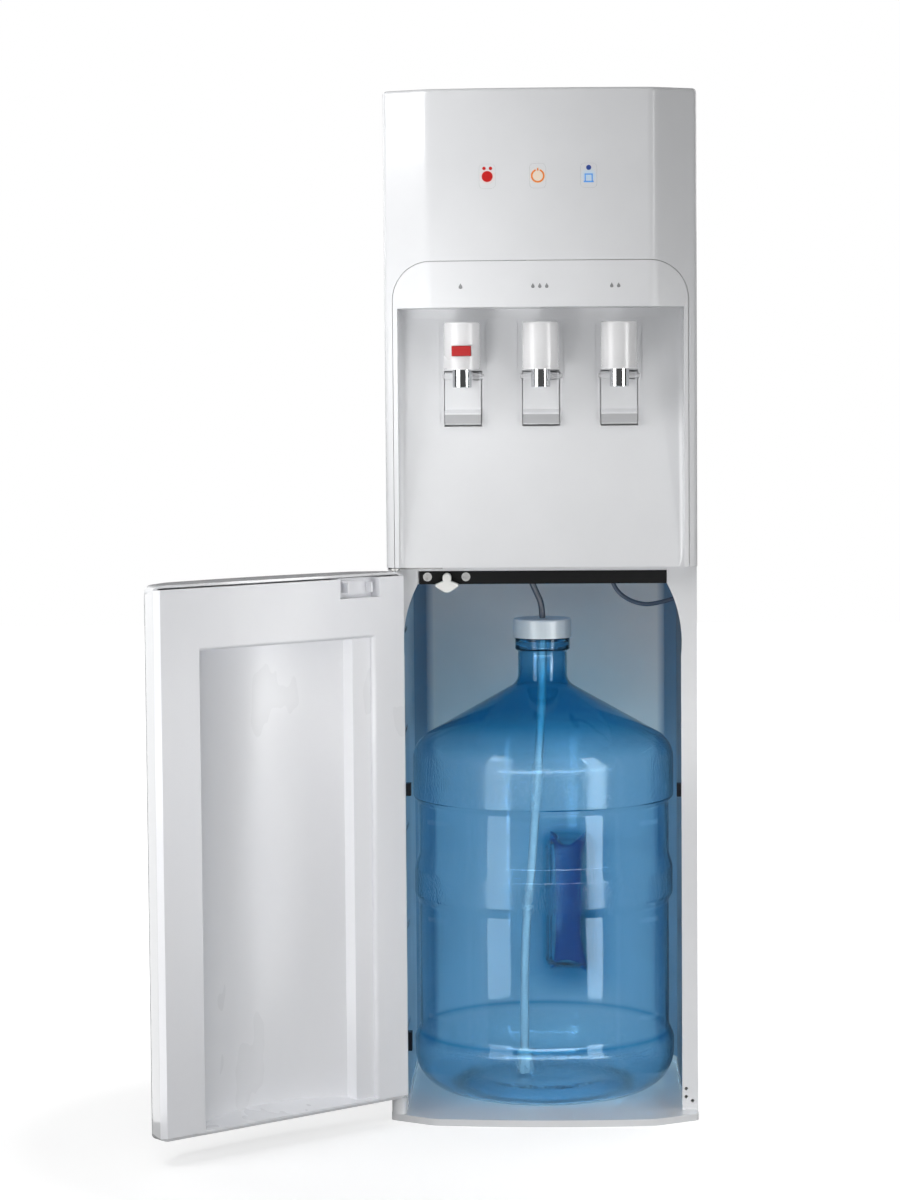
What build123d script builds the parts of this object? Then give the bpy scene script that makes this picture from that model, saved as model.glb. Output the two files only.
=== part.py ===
from build123d import *
import math
import os

# Bottom load water cooler with its bottle in the bay and the bay door swung open.
# X runs to the right, Y to the back and Z up. The floor is Z = 0, and the origin lies
# under the middle of the cabinet. Everything is in millimetres.

os.makedirs("parts", exist_ok=True)

# ---- Driving dimensions ----
body_width = 310.0
body_height = 1032.0
front_y = -165.0  # the bowed front at its middle
rear_y = 165.0  # outside of the rear panel
flank_x = 112.0  # where the bow ends and the slanted flank starts
flank_y = -158.0
side_y = -133.0  # where the flank meets the straight side
flank_radius = 26.0
side_radius = 7.0
shell_wall = 2.5  # moulded covers
sheet = 0.8  # painted steel sheet
half_width = body_width / 2

base_height = 11.0
bay_floor_z = 3.5
threshold_z = 7.0
frame_y = -116.0  # face of the frame round the bay
frame_depth = 10.0
frame_top = 559.5
bracket_z = 557.2
opening_half = 139.2
opening_top = 542.0
bay_half = 141.0  # inside of the bay's side walls
bay_back_y = 155.0
bay_chamfer_x = 129.0
bay_chamfer_y = 118.0
shelf_z = 547.0

panel_bottom = 560.0
panel_top = 863.4
panel_half = 146.4
arch_radius = 38.0
panel_gap = 0.5
panel_back_y = -84.0
hood_lip_z = 819.0
scoop_top_z = 808.0
scoop_top_y = -101.0
scoop_foot_y = -137.0
scoop_half = 142.0
scoop_corner = 6.0
cover_bottom = 1020.0

tap_x = {"hot": -78.0, "room": 0.0, "cold": 78.0}
tap_y = -136.0
tap_radius = 18.0
tap_bottom = 757.0
tap_top = 804.0
stem_z = 785.0
stem_radius = 5.9
stem_end_y = -72.0
spout_radius = 9.5
spout_tip_z = 739.0
water_bore = 4.5
pocket_half = 18.8
pocket_bottom = 700.0
pocket_top = 755.4
pocket_depth = 12.0
bezel_half = 24.5  # thin raised rib round each tap
bezel_bottom = 697.0
paddle_half = 18.0
paddle_pivot_z = 750.0
paddle_pin_radius = 2.0
running_gap = 0.05

indicator_x = (-51.0, -1.4, 48.5)
indicator_z = 946.0
indicator_width = 16.0
indicator_height = 24.0

bottle_x = -1.5
bottle_y = 16.0
bottle_radius = 136.0
bottle_wall = 2.0
cap_bottom = 477.0
cap_top = 497.0

door_open = 138.9  # how far the door stands open, degrees
pin_x = -147.0
pin_y = -131.5
pin_radius = 2.5
pin_length = 24.0
door_bottom = 24.0
door_top = 556.5
liner_y = -117.5  # the liner's face when the door is shut
door_seam_y = -122.5  # the shell's rim when the door is shut
door_half = 153.8

tank_wall = 1.2


def scoop_wall(z):
    """Y of the dispenser's slanted back wall at height z."""
    slope = (scoop_foot_y - scoop_top_y) / (panel_bottom - scoop_top_z)
    return scoop_top_y + slope * (z - scoop_top_z)


def plan_face(back_y, inset=0.0):
    """Bowed front, slanted flanks and straight sides, seen from above."""
    with BuildSketch() as face:
        with BuildLine():
            ThreePointArc((-flank_x, flank_y), (0, front_y), (flank_x, flank_y))
            Polyline((flank_x, flank_y), (half_width, side_y), (half_width, back_y),
                     (-half_width, back_y), (-half_width, side_y), (-flank_x, flank_y))
        make_face()
        fillet(face.vertices().group_by(Axis.Y)[0], radius=flank_radius)
        sides = face.vertices().filter_by_position(Axis.Y, side_y - 0.5, side_y + 0.5)
        fillet(sides, radius=side_radius)
        if inset:
            offset(amount=-inset)
    return face.sketch


def arch_face(half, bottom, top, radius):
    """Upright outline with two round top corners."""
    with BuildSketch() as face:
        with Locations((0, bottom)):
            Rectangle(2 * half, top - bottom, align=(Align.CENTER, Align.MIN))
        fillet(face.vertices().group_by(Axis.Y)[-1], radius=radius)
    return face.sketch


def front_plane(y):
    """Upright plane at depth y that faces the front, with X to the right and Z up."""
    return Plane.XZ.offset(-y)


def box_between(low, high, mode=Mode.ADD):
    """A box from its lowest to its highest corner."""
    size = [b - a for a, b in zip(low, high)]
    with Locations(low):
        Box(*size, align=(Align.MIN, Align.MIN, Align.MIN), mode=mode)


def upright(x, y, low, high, radius, mode=Mode.ADD):
    """A vertical round bar from height low to height high."""
    with Locations((x, y, low)):
        Cylinder(radius, high - low, align=(Align.CENTER, Align.CENTER, Align.MIN), mode=mode)


def level(x, z, front, back, radius, mode=Mode.ADD):
    """A round bar along Y from front to back."""
    with Locations((x, (front + back) / 2, z)):
        Cylinder(radius, back - front, rotation=(90, 0, 0), mode=mode)


cabinet_plan = plan_face(rear_y)
front_plan = plan_face(0)
front_plan_inner = plan_face(0, shell_wall)

# ---- Base with the bay floor, the threshold and the lower hinge boss ----
with BuildPart() as base_plinth:
    with BuildSketch():
        add(cabinet_plan)
    extrude(amount=base_height)
    box_between((-200, -200, threshold_z), (200, frame_y, 20), mode=Mode.SUBTRACT)
    box_between((-opening_half, -120, threshold_z), (opening_half, -100, 20), mode=Mode.SUBTRACT)
    with BuildSketch(Plane.XY.offset(bay_floor_z)):  # the bay's floor
        with BuildLine():
            Polyline((1 - bay_half, frame_y + frame_depth), (bay_half - 1, frame_y + frame_depth),
                     (bay_half - 1, bay_chamfer_y), (bay_chamfer_x - 1, bay_back_y - 1),
                     (1 - bay_chamfer_x, bay_back_y - 1), (1 - bay_half, bay_chamfer_y),
                     close=True)
        make_face()
    extrude(amount=20, mode=Mode.SUBTRACT)
    upright(pin_x, pin_y, threshold_z, door_bottom - 0.4, 7.5)
    upright(pin_x, pin_y, door_bottom + 14 - pin_length, 30, pin_radius, mode=Mode.SUBTRACT)
base_plinth.part.label = "base_plinth"
export_step(base_plinth.part, "parts/base_plinth.step")

# ---- Side and rear panels ----
for side, x in (("left", -half_width), ("right", half_width - sheet)):
    with BuildPart() as side_panel:
        box_between((x, frame_y, base_height), (x + sheet, rear_y - sheet, cover_bottom))
    side_panel.part.label = f"side_panel_{side}"
    export_step(side_panel.part, f"parts/side_panel_{side}.step")

switch_x = (84.0, 116.0)
switch_z = 960.0
drain_x, drain_z = -70.0, 622.0
gland_x, gland_z = 128.0, 640.0
coil_in = (-112.0, 612.0)
coil_out = (130.0, 612.0)
vent_width = 70.0
with BuildPart() as rear_panel:
    box_between((-half_width, rear_y - sheet, base_height), (half_width, rear_y, cover_bottom))
    with BuildSketch(front_plane(rear_y + 5)):
        with Locations(*[(x, switch_z) for x in switch_x]):
            Rectangle(14, 21)
        with Locations((drain_x, drain_z)):
            Circle(9.2)
        with Locations((gland_x, gland_z)):
            Circle(8.2)
        with Locations(coil_in, coil_out):
            Circle(4)
        for column in (-92, 0, 92):  # three columns of cooling slots
            with Locations((column, 790)):
                with GridLocations(1, 16, 1, 14):
                    SlotOverall(vent_width, 5)
    extrude(amount=10, mode=Mode.SUBTRACT)
rear_panel.part.label = "rear_panel"
export_step(rear_panel.part, "parts/rear_panel.step")

# ---- Frame round the bay's opening ----
with BuildPart() as front_frame:
    with BuildSketch(front_plane(frame_y + frame_depth)):
        with Locations((0, base_height)):
            Rectangle(2 * (half_width - sheet), frame_top - base_height,
                      align=(Align.CENTER, Align.MIN))
        with BuildLine():  # straight jambs, curved and slanted top corners
            Polyline((-opening_half, 468), (-opening_half, 0), (opening_half, 0),
                     (opening_half, 468))
            ThreePointArc((opening_half, 468), (135.6, 515), (125, opening_top))
            Line((125, opening_top), (-125, opening_top))
            ThreePointArc((-125, opening_top), (-135.6, 515), (-opening_half, 468))
        make_face(mode=Mode.SUBTRACT)
        with Locations((143, 28.4), (143, 20.2), (149.4, 16)):
            Circle(1.7, mode=Mode.SUBTRACT)  # screw holes for a hinge on the other side
    extrude(amount=frame_depth)
    level(139.9, 550.4, frame_y - 1, frame_y + 1, 2.6, mode=Mode.SUBTRACT)  # blind dimple
    box_between((-160, frame_y - 5, bracket_z), (-99.8, frame_y + 20, 570), mode=Mode.SUBTRACT)
    box_between((-124.5, frame_y - 5, opening_top), (125.1, frame_y + 2.4, 555.4),
                mode=Mode.SUBTRACT)
front_frame.part.label = "front_frame"
export_step(front_frame.part, "parts/front_frame.step")

# ---- Bay walls and the shelf that closes the bay above ----
slot_heights = [80 + 102 * k for k in range(5)]
lead_y, lead_z = 26.0, 517.7
for side, x in (("left", -bay_half - 1), ("right", bay_half)):
    with BuildPart() as bay_wall:
        box_between((x, frame_y + frame_depth, base_height), (x + 1, bay_chamfer_y, shelf_z))
        for z in slot_heights:
            box_between((x - 1, -62, z), (x + 2, -18, z + 5), mode=Mode.SUBTRACT)
        if side == "right":  # way in for the level sensor's lead
            with Locations((x, lead_y, lead_z)):
                Cylinder(4.2, 6, rotation=(0, 90, 0), mode=Mode.SUBTRACT)
    bay_wall.part.label = f"bay_wall_{side}"
    export_step(bay_wall.part, f"parts/bay_wall_{side}.step")

with BuildPart() as bay_back_wall:
    with BuildSketch(Plane.XY.offset(base_height)):
        with BuildLine():
            Polyline((-bay_half, bay_chamfer_y), (-bay_chamfer_x, bay_back_y),
                     (bay_chamfer_x, bay_back_y), (bay_half, bay_chamfer_y),
                     (bay_half + 1, bay_chamfer_y), (bay_chamfer_x + 0.8, bay_back_y + 1),
                     (-bay_chamfer_x - 0.8, bay_back_y + 1), (-bay_half - 1, bay_chamfer_y),
                     close=True)
        make_face()
    extrude(amount=shelf_z - base_height)
bay_back_wall.part.label = "bay_back_wall"
export_step(bay_back_wall.part, "parts/bay_back_wall.step")

hose_hole = (-15.4, 12.3)
lead_hole = (68.5, 26.0)
foot_places = [(20, 50), (104, 50), (20, 130), (104, 130)]
with BuildPart() as divider_shelf:
    box_between((sheet - half_width, frame_y + frame_depth, shelf_z),
                (half_width - sheet, rear_y - sheet, shelf_z + 1.2))
    box_between((sheet - half_width, rear_y - sheet - 1.2, shelf_z),
                (half_width - sheet, rear_y - sheet, shelf_z + 15))
    for x, y in (hose_hole, lead_hole):
        upright(x, y, shelf_z - 1, shelf_z + 3, 7, mode=Mode.SUBTRACT)
divider_shelf.part.label = "divider_shelf"
export_step(divider_shelf.part, "parts/divider_shelf.step")

with BuildPart() as wall_clips:
    for x, z, wide, tall in ((-bay_half, 323, 5.5, 12.5), (bay_half - 5.5, 321.5, 5.5, 13),
                             (-bay_half, 59.5, 4.5, 19)):
        box_between((x, -80, z), (x + wide, -68, z + tall))
wall_clips.part.label = "wall_clips"
export_step(wall_clips.part, "parts/wall_clips.step")

# ---- Latch bar above the opening, its screws and the white strike ----
screw_x = (-115.0, -76.4)
screw_z = 549.4
with BuildPart() as latch_bar:
    box_between((-123.5, frame_y - 0.4, opening_top), (124.7, frame_y + 2.4, 555.0))
    with BuildSketch(front_plane(frame_y - 5)):
        with Locations(*[(x, screw_z) for x in screw_x]):
            Circle(4.4)
    extrude(amount=-20, mode=Mode.SUBTRACT)
latch_bar.part.label = "latch_bar"
export_step(latch_bar.part, "parts/latch_bar.step")

with BuildPart() as latch_bar_screws:
    for x in screw_x:
        level(x, screw_z, frame_y - 0.9, frame_y + 2.4, 4.4)
        box_between((x - 2.9, frame_y - 2, screw_z - 0.8), (x + 2.9, frame_y + 0.4, screw_z + 0.8),
                    mode=Mode.SUBTRACT)
        box_between((x - 0.8, frame_y - 2, screw_z - 2.9), (x + 0.8, frame_y + 0.4, screw_z + 2.9),
                    mode=Mode.SUBTRACT)
latch_bar_screws.part.label = "latch_bar_screws"
export_step(latch_bar_screws.part, "parts/latch_bar_screws.step")

strike_x = -95.3
with BuildPart() as door_strike:
    with BuildSketch(front_plane(frame_y - 0.4)):
        with Locations((strike_x, 548.5)):
            SlotOverall(10, 8.6, rotation=90)
        with BuildLine():  # two wings that run down to a blunt tip
            Polyline((strike_x - 3, 546), (strike_x - 11.6, 542.4), (strike_x - 11.6, 540),
                     (strike_x - 2.2, 534), (strike_x + 2.2, 534), (strike_x + 11.6, 540),
                     (strike_x + 11.6, 542.4), (strike_x + 3, 546), close=True)
        make_face()
    extrude(amount=9)
    fillet(door_strike.faces().sort_by(Axis.Y)[0].edges(), radius=1.2)
door_strike.part.label = "door_strike"
export_step(door_strike.part, "parts/door_strike.step")

# ---- Upper fascia, top cover and indicators ----
with BuildPart() as upper_fascia:
    with BuildSketch(Plane.XY.offset(panel_bottom)):
        add(front_plan)
        add(front_plan_inner, mode=Mode.SUBTRACT)
        with Locations((0, frame_y)):
            Rectangle(400, 300, align=(Align.CENTER, Align.MIN), mode=Mode.SUBTRACT)
    extrude(amount=cover_bottom - panel_bottom)
    with BuildSketch(front_plane(frame_y + 5)):
        add(arch_face(panel_half + panel_gap, panel_bottom - 10, panel_top + panel_gap,
                      arch_radius + panel_gap))
        with Locations(*[(x, indicator_z) for x in indicator_x]):
            RectangleRounded(indicator_width, indicator_height, 4)
    extrude(amount=80, mode=Mode.SUBTRACT)
    for x in (-66, 64):  # posts that hold the indicator board
        level(x, indicator_z, -161.5, -150, 3)
upper_fascia.part.label = "upper_fascia"
export_step(upper_fascia.part, "parts/upper_fascia.step")

with BuildPart() as indicator_lenses:
    with BuildSketch(Plane.XY.offset(indicator_z - 20)):
        add(front_plan)
        add(front_plan_inner, mode=Mode.SUBTRACT)
        with Locations((0, frame_y - 20)):
            Rectangle(400, 300, align=(Align.CENTER, Align.MIN), mode=Mode.SUBTRACT)
    extrude(amount=40)
    with BuildSketch(front_plane(frame_y)):
        with Locations(*[(x, indicator_z) for x in indicator_x]):
            RectangleRounded(indicator_width - 0.2, indicator_height - 0.2, 3.9)
    extrude(amount=80, mode=Mode.INTERSECT)
indicator_lenses.part.label = "indicator_lenses"
export_step(indicator_lenses.part, "parts/indicator_lenses.step")

with BuildPart() as indicator_board:
    box_between((-74, -150, indicator_z - 15), (72, -148.4, indicator_z + 15))
    for x in indicator_x:
        level(x, indicator_z, -154, -149, 2.5)
indicator_board.part.label = "indicator_board"
export_step(indicator_board.part, "parts/indicator_board.step")

with BuildPart() as top_cover:
    with BuildSketch(Plane.XY.offset(cover_bottom)):
        add(cabinet_plan)
    extrude(amount=body_height - cover_bottom)
    fillet(top_cover.faces().sort_by(Axis.Z)[-1].edges(), radius=4)
    with BuildSketch(Plane.XY.offset(cover_bottom)):
        add(plan_face(rear_y, shell_wall))
    extrude(amount=body_height - cover_bottom - shell_wall, mode=Mode.SUBTRACT)
top_cover.part.label = "top_cover"
export_step(top_cover.part, "parts/top_cover.step")


# ---- Dispenser panel: arched hood, scooped niche and a pocket behind each tap ----
def scoop(grow):
    """The niche as a solid block, larger by grow on every side."""
    with BuildPart() as block:
        with BuildSketch(Plane.YZ.offset(-scoop_half - grow)):
            with BuildLine():
                Polyline((-200, hood_lip_z + grow), (scoop_top_y + grow, scoop_top_z + grow + 9),
                         (scoop_top_y + grow, scoop_top_z), (scoop_foot_y + grow, panel_bottom),
                         (scoop_foot_y + grow, 500), (-200, 500), close=True)
            make_face()
        extrude(amount=2 * (scoop_half + grow))
        ends = block.faces().group_by(Axis.X)[0].edges() + block.faces().group_by(Axis.X)[-1].edges()
        back = ends.filter_by_position(Axis.Y, -150, -90)
        fillet(back.filter_by_position(Axis.Z, 555, 812), radius=scoop_corner)
    return block.part


def dispenser_block(inset):
    """The dispenser's front as a full block, drawn in by inset on every side that shows."""
    wide = panel_half - inset
    with BuildPart() as block:
        with BuildSketch(front_plane(panel_back_y + 3 * inset)):
            add(arch_face(wide, panel_bottom + inset, panel_top - inset, arch_radius - inset))
        extrude(amount=140)
        with BuildSketch(Plane.XY.offset(500)):
            add(plan_face(0, inset))
        extrude(amount=400, mode=Mode.INTERSECT)
        add(scoop(inset), mode=Mode.SUBTRACT)
        for x in tap_x.values():
            with BuildSketch(Plane.YZ.offset(x - pocket_half - inset)):
                with BuildLine():  # pocket floor runs parallel to the niche's back wall
                    low, high = pocket_bottom - inset, pocket_top + inset
                    deep = pocket_depth + inset
                    Polyline((scoop_wall(low) - 8, low), (scoop_wall(low) + deep, low),
                             (scoop_wall(high) + deep, high), (scoop_wall(high) - 8, high),
                             close=True)
                make_face()
            extrude(amount=2 * (pocket_half + inset), mode=Mode.SUBTRACT)
    return block.part


panel_outside = dispenser_block(0)
panel_inside = dispenser_block(shell_wall)
paddle_pivot_y = scoop_wall(paddle_pivot_z) - 0.75
with BuildPart() as dispenser_panel:
    add(panel_outside)
    add(panel_inside, mode=Mode.SUBTRACT)
    for x in tap_x.values():
        level(x, stem_z, -120, -70, stem_radius + 0.2, mode=Mode.SUBTRACT)
        with Locations((x, paddle_pivot_y, paddle_pivot_z)):
            Cylinder(paddle_pin_radius, 2 * (pocket_half + 2), rotation=(0, 90, 0),
                     mode=Mode.SUBTRACT)
        for left, wide, top in ((-bezel_half, 1.2, 803), (bezel_half - 1.2, 1.2, 803),
                                (-bezel_half, 2 * bezel_half, bezel_bottom + 1.2)):
            with BuildSketch(Plane.YZ.offset(x + left)):
                with BuildLine():
                    Polyline((scoop_wall(bezel_bottom) - 0.9, bezel_bottom),
                             (scoop_wall(bezel_bottom) + 0.5, bezel_bottom),
                             (scoop_wall(top) + 0.5, top), (scoop_wall(top) - 0.9, top),
                             close=True)
                make_face()
            extrude(amount=wide)
dispenser_panel.part.label = "dispenser_panel"
export_step(dispenser_panel.part, "parts/dispenser_panel.step")

# ---- Taps: body, spout and push paddle ----
button_z = 775.4
button_width = 19.0
button_height = 10.0
spring_x = 13.0  # from the tap's middle
for name, x in tap_x.items():
    stem_end = stem_end_y if name != "room" else stem_end_y - 4
    with BuildPart() as tap_body:
        upright(x, tap_y, tap_bottom, tap_top, tap_radius)
        fillet(tap_body.edges().sort_by(Axis.Z)[-1], radius=2)
        for z in (759.6, 762.6, 765.6):  # three fine grooves above the spout
            with BuildSketch(Plane.XY.offset(z)):
                with Locations((x, tap_y)):
                    Circle(tap_radius + 1)
                    Circle(tap_radius - 0.5, mode=Mode.SUBTRACT)
            extrude(amount=0.8, mode=Mode.SUBTRACT)
        level(x, stem_z, tap_y, -106.2, 9)
        level(x, stem_z, tap_y, stem_end, stem_radius)
        level(x, stem_z, tap_y, stem_end + 1, 3.2, mode=Mode.SUBTRACT)
        upright(x, tap_y, tap_bottom - 1, stem_z + 2, water_bore, mode=Mode.SUBTRACT)
        if name == "hot":  # pocket for the child lock's button
            box_between((x - button_width / 2 - 0.3, -170, button_z - button_height / 2 - 0.3),
                        (x + button_width / 2 + 0.3, -145, button_z + button_height / 2 + 0.3),
                        mode=Mode.SUBTRACT)
    tap_body.part.label = f"{name}_tap_body"
    export_step(tap_body.part, f"parts/{name}_tap_body.step")

    with BuildPart() as spout:
        upright(x, tap_y, spout_tip_z, tap_bottom, spout_radius)
        chamfer(spout.edges().sort_by(Axis.Z)[0], length=0.8)
        upright(x, tap_y, spout_tip_z - 1, tap_bottom + 1, water_bore, mode=Mode.SUBTRACT)
    spout.part.label = f"{name}_spout"
    export_step(spout.part, f"parts/{name}_spout.step")

    with BuildPart() as paddle:
        with BuildSketch(Plane.YZ.offset(x - paddle_half)):
            with BuildLine():  # push plate with a lip that is undercut towards the cup
                Polyline((scoop_wall(748) - 2.5, 748), (scoop_wall(717) - 2.5, 717),
                         (scoop_wall(712) - 9, 713.5), (scoop_wall(712) - 9.6, 712),
                         (scoop_wall(702) - 3, 702), (scoop_wall(702) + 0.5, 702),
                         (scoop_wall(748) + 0.5, 748), close=True)
            make_face()
            with Locations((paddle_pivot_y, paddle_pivot_z)):
                Circle(4.2)
                Circle(paddle_pin_radius + running_gap, mode=Mode.SUBTRACT)
        extrude(amount=2 * paddle_half)
        with Locations((x + spring_x, paddle_pivot_y, paddle_pivot_z)):  # room for the spring
            Cylinder(4.6, 5.6, rotation=(0, 90, 0), mode=Mode.SUBTRACT)
    paddle.part.label = f"{name}_paddle"
    export_step(paddle.part, f"parts/{name}_paddle.step")

with BuildPart() as paddle_pins:
    for x in tap_x.values():
        with Locations((x, paddle_pivot_y, paddle_pivot_z)):
            Cylinder(paddle_pin_radius, 2 * (pocket_half + 2), rotation=(0, 90, 0))
paddle_pins.part.label = "paddle_pins"
export_step(paddle_pins.part, "parts/paddle_pins.step")

with BuildPart() as paddle_springs:  # closed sleeves in the place of the torsion springs
    for x in tap_x.values():
        with Locations((x + spring_x, paddle_pivot_y, paddle_pivot_z)):
            Cylinder(3.6, 5, rotation=(0, 90, 0))
            Cylinder(paddle_pin_radius, 6, rotation=(0, 90, 0), mode=Mode.SUBTRACT)
paddle_springs.part.label = "paddle_springs"
export_step(paddle_springs.part, "parts/paddle_springs.step")

with BuildPart() as hot_lock_button:
    box_between((tap_x["hot"] - button_width / 2, -156.5, button_z - button_height / 2),
                (tap_x["hot"] + button_width / 2, -148.0, button_z + button_height / 2))
    fillet(hot_lock_button.faces().sort_by(Axis.Y)[0].edges(), radius=1)
hot_lock_button.part.label = "hot_lock_button"
export_step(hot_lock_button.part, "parts/hot_lock_button.step")

# ---- Bottle with its rings, pushed-in base and handle, and the probe cap ----
bottle_plane = Plane(origin=(bottle_x, bottle_y, 0), x_dir=(1, 0, 0), z_dir=(0, -1, 0))
bottle_axis = Axis((bottle_x, bottle_y, 0), (0, 0, 1))
handle_turn = 12.0  # the handle sits this far round from the back, degrees
handle_low = 104.0
handle_high = 254.0


def bottle_profile(inset):
    """Right half of the bottle's section, drawn in by inset."""
    wide = bottle_radius
    smooth = wide - 5
    ring = wide - 1
    points = [(0, bay_floor_z + 9), (66, bay_floor_z + 9), (84, bay_floor_z),
              (wide, bay_floor_z), (wide, 58), (smooth, 70), (smooth, 202), (ring, 210),
              (ring, 238), (smooth, 252), (smooth, 306), (wide, 312), (wide, 368),
              (25.6, 430.6), (25.6, 463), (28.6, 465), (28.6, 477), (26, 478.5), (26, 494)]
    radii = [8, 5, 40, 6, 6, 6, 6, 8, 8, 3, 3, 28, 14, 1.5, 1.2, 1.2, 0.2]
    with BuildSketch() as section:
        with BuildLine():
            outline = FilletPolyline(*points, radius=radii)
            Line(outline @ 1, (0, points[-1][1]))
            mirror(about=Plane.YZ)
        make_face()
        if inset:
            offset(amount=-inset)
            with Locations((0, points[-1][1] - 12)):
                Rectangle(2 * (26 - inset), 30)  # the inside runs out through the mouth
        Rectangle(400, 1200, align=(Align.MIN, Align.CENTER), mode=Mode.INTERSECT)
    return section.sketch


handle_plane = Plane(Location((bottle_x, bottle_y, 0), (0, 0, -handle_turn)))


def handle_pocket(grow):
    """Hollow in the bottle's back that the hand reaches into, larger by grow."""
    with BuildPart() as pocket:
        with BuildSketch(handle_plane.offset(handle_low - grow)):
            with Locations((0, 96 - grow)):
                RectangleRounded(46 + 2 * grow, 140, 12 + grow, align=(Align.CENTER, Align.MIN))
        extrude(amount=handle_high - handle_low + 2 * grow)
    return pocket.part


def turned_bottle(inset):
    """The bottle as one solid of revolution with the handle's pocket taken out."""
    with BuildPart() as solid:
        with BuildSketch(bottle_plane):
            add(bottle_profile(inset))
        revolve(axis=bottle_axis)
        add(handle_pocket(inset), mode=Mode.SUBTRACT)
    return solid.part


bottle_outside = turned_bottle(0)
bottle_inside = turned_bottle(bottle_wall)
with BuildPart() as bottle:
    add(bottle_outside)
    add(bottle_inside, mode=Mode.SUBTRACT)
    with BuildSketch(handle_plane.offset(handle_low - 1)):
        with Locations((0, 121)):
            RectangleRounded(28, 16, 6)
    extrude(amount=handle_high - handle_low + 2)
bottle.part.label = "bottle"
export_step(bottle.part, "parts/bottle.step")

with BuildPart() as probe_cap:
    upright(bottle_x, bottle_y, cap_bottom + 0.3, cap_top, 30.3)
    fillet(probe_cap.edges().sort_by(Axis.Z)[-1], radius=2)
    upright(bottle_x, bottle_y, cap_bottom, 494, 26.05, mode=Mode.SUBTRACT)
    with BuildSketch(Plane.XY.offset(cap_bottom)):
        with Locations((bottle_x, bottle_y)):
            Circle(29)
    extrude(amount=1.6, mode=Mode.SUBTRACT)
    upright(bottle_x, bottle_y, 482, 495, 8)
    upright(bottle_x, bottle_y, 481, 492, 4.5, mode=Mode.SUBTRACT)
    upright(bottle_x, bottle_y, cap_top - 1, cap_top + 7, 2.0)
    upright(bottle_x, bottle_y, 490, cap_top + 10, 1.1, mode=Mode.SUBTRACT)
probe_cap.part.label = "probe_cap"
export_step(probe_cap.part, "parts/probe_cap.step")


# ---- Tubes, hoses and the level sensor's lead ----
def hose_radii(points):
    """Bend radii that use just under half of the shorter run on either side."""
    spots = [Vector(*p) for p in points]
    radii = []
    for before, here, after in zip(spots, spots[1:], spots[2:]):
        turn = (here - before).get_angle(after - here)
        shorter = min((here - before).length, (after - here).length)
        radii.append(0.45 * shorter / math.tan(math.radians(turn / 2)))
    return radii


def hose(name, points, diameter, bore):
    """A round tube along the given route."""
    radii = hose_radii(points)
    with BuildPart() as tube:
        with BuildLine() as route:
            FilletPolyline(*points, radius=radii)
        centre = route.wires()[0]
        with BuildSketch(Plane(origin=centre @ 0, z_dir=centre % 0)):
            Circle(diameter / 2)
            if bore:
                Circle(bore / 2, mode=Mode.SUBTRACT)
        sweep(path=centre)
    tube.part.label = name
    export_step(tube.part, f"parts/{name}.step")
    section = math.pi * (diameter ** 2 - bore ** 2) / 4
    print(name, "length", round(centre.length, 1), "least radius", round(min(radii), 1),
          "volume over section x length", round(tube.part.volume / section / centre.length, 4))
    return tube.part


dip_route = [(bottle_x, bottle_y, 492), (bottle_x, bottle_y, 425), (-6, 15.5, 350),
             (-10.5, 14.5, 285), (-14, 14.2, 232), (-20.5, 13.5, 175), (-22.5, 13, 105),
             (-22.5, 13, 30)]
hose("dip_tube", dip_route, 9, 6.6)
with BuildPart() as dip_tube_foot:
    upright(-22.5, 13, 17, 40, 8)
    fillet(dip_tube_foot.edges().sort_by(Axis.Z)[-1], radius=2)
    upright(-22.5, 13, 30, 41, 4.5, mode=Mode.SUBTRACT)
    upright(-22.5, 13, 20, 31, 3.3, mode=Mode.SUBTRACT)
    for turn in range(0, 180, 45):  # slots that let the water in
        with Locations(Location((-22.5, 13, 24), (0, 0, turn))):
            Box(20, 2, 6, mode=Mode.SUBTRACT)
dip_tube_foot.part.label = "dip_tube_foot"
export_step(dip_tube_foot.part, "parts/dip_tube_foot.step")

suction_route = [(bottle_x, bottle_y, cap_top), (bottle_x, bottle_y, 511), (-8.5, 14.5, 526),
                 (-14.5, 12.8, 541), (-17.5, 11, 562), (-24, 7, 590), (-40, -3, 616),
                 (-66, -19, 632), (-94, -36, 630), (-110, -45, 612), (-110, -45, 590)]
hose("suction_hose", suction_route, 6.4, 4.0)
sensor_route = [(68, lead_y, 562), (69, lead_y, 539.5), (78, lead_y, 521.5), (96, lead_y, 511),
                (117, lead_y, 509.5), (147, lead_y, 519.5)]
hose("sensor_lead", sensor_route, 4.5, 0)
pump_route = [(-95, -45, 592), (-95, -45, 630), (-68, -38, 690), (-42, -28, 750),
              (-36, -20, 830), (-34, -8, 905), (-34, 0, 965.3), (-12.3, 8, 987),
              (18.3, 18, 987), (40, 25, 965.3), (40, 25, 936)]
hose("pump_hose", pump_route, 8, 5.6)

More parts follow.
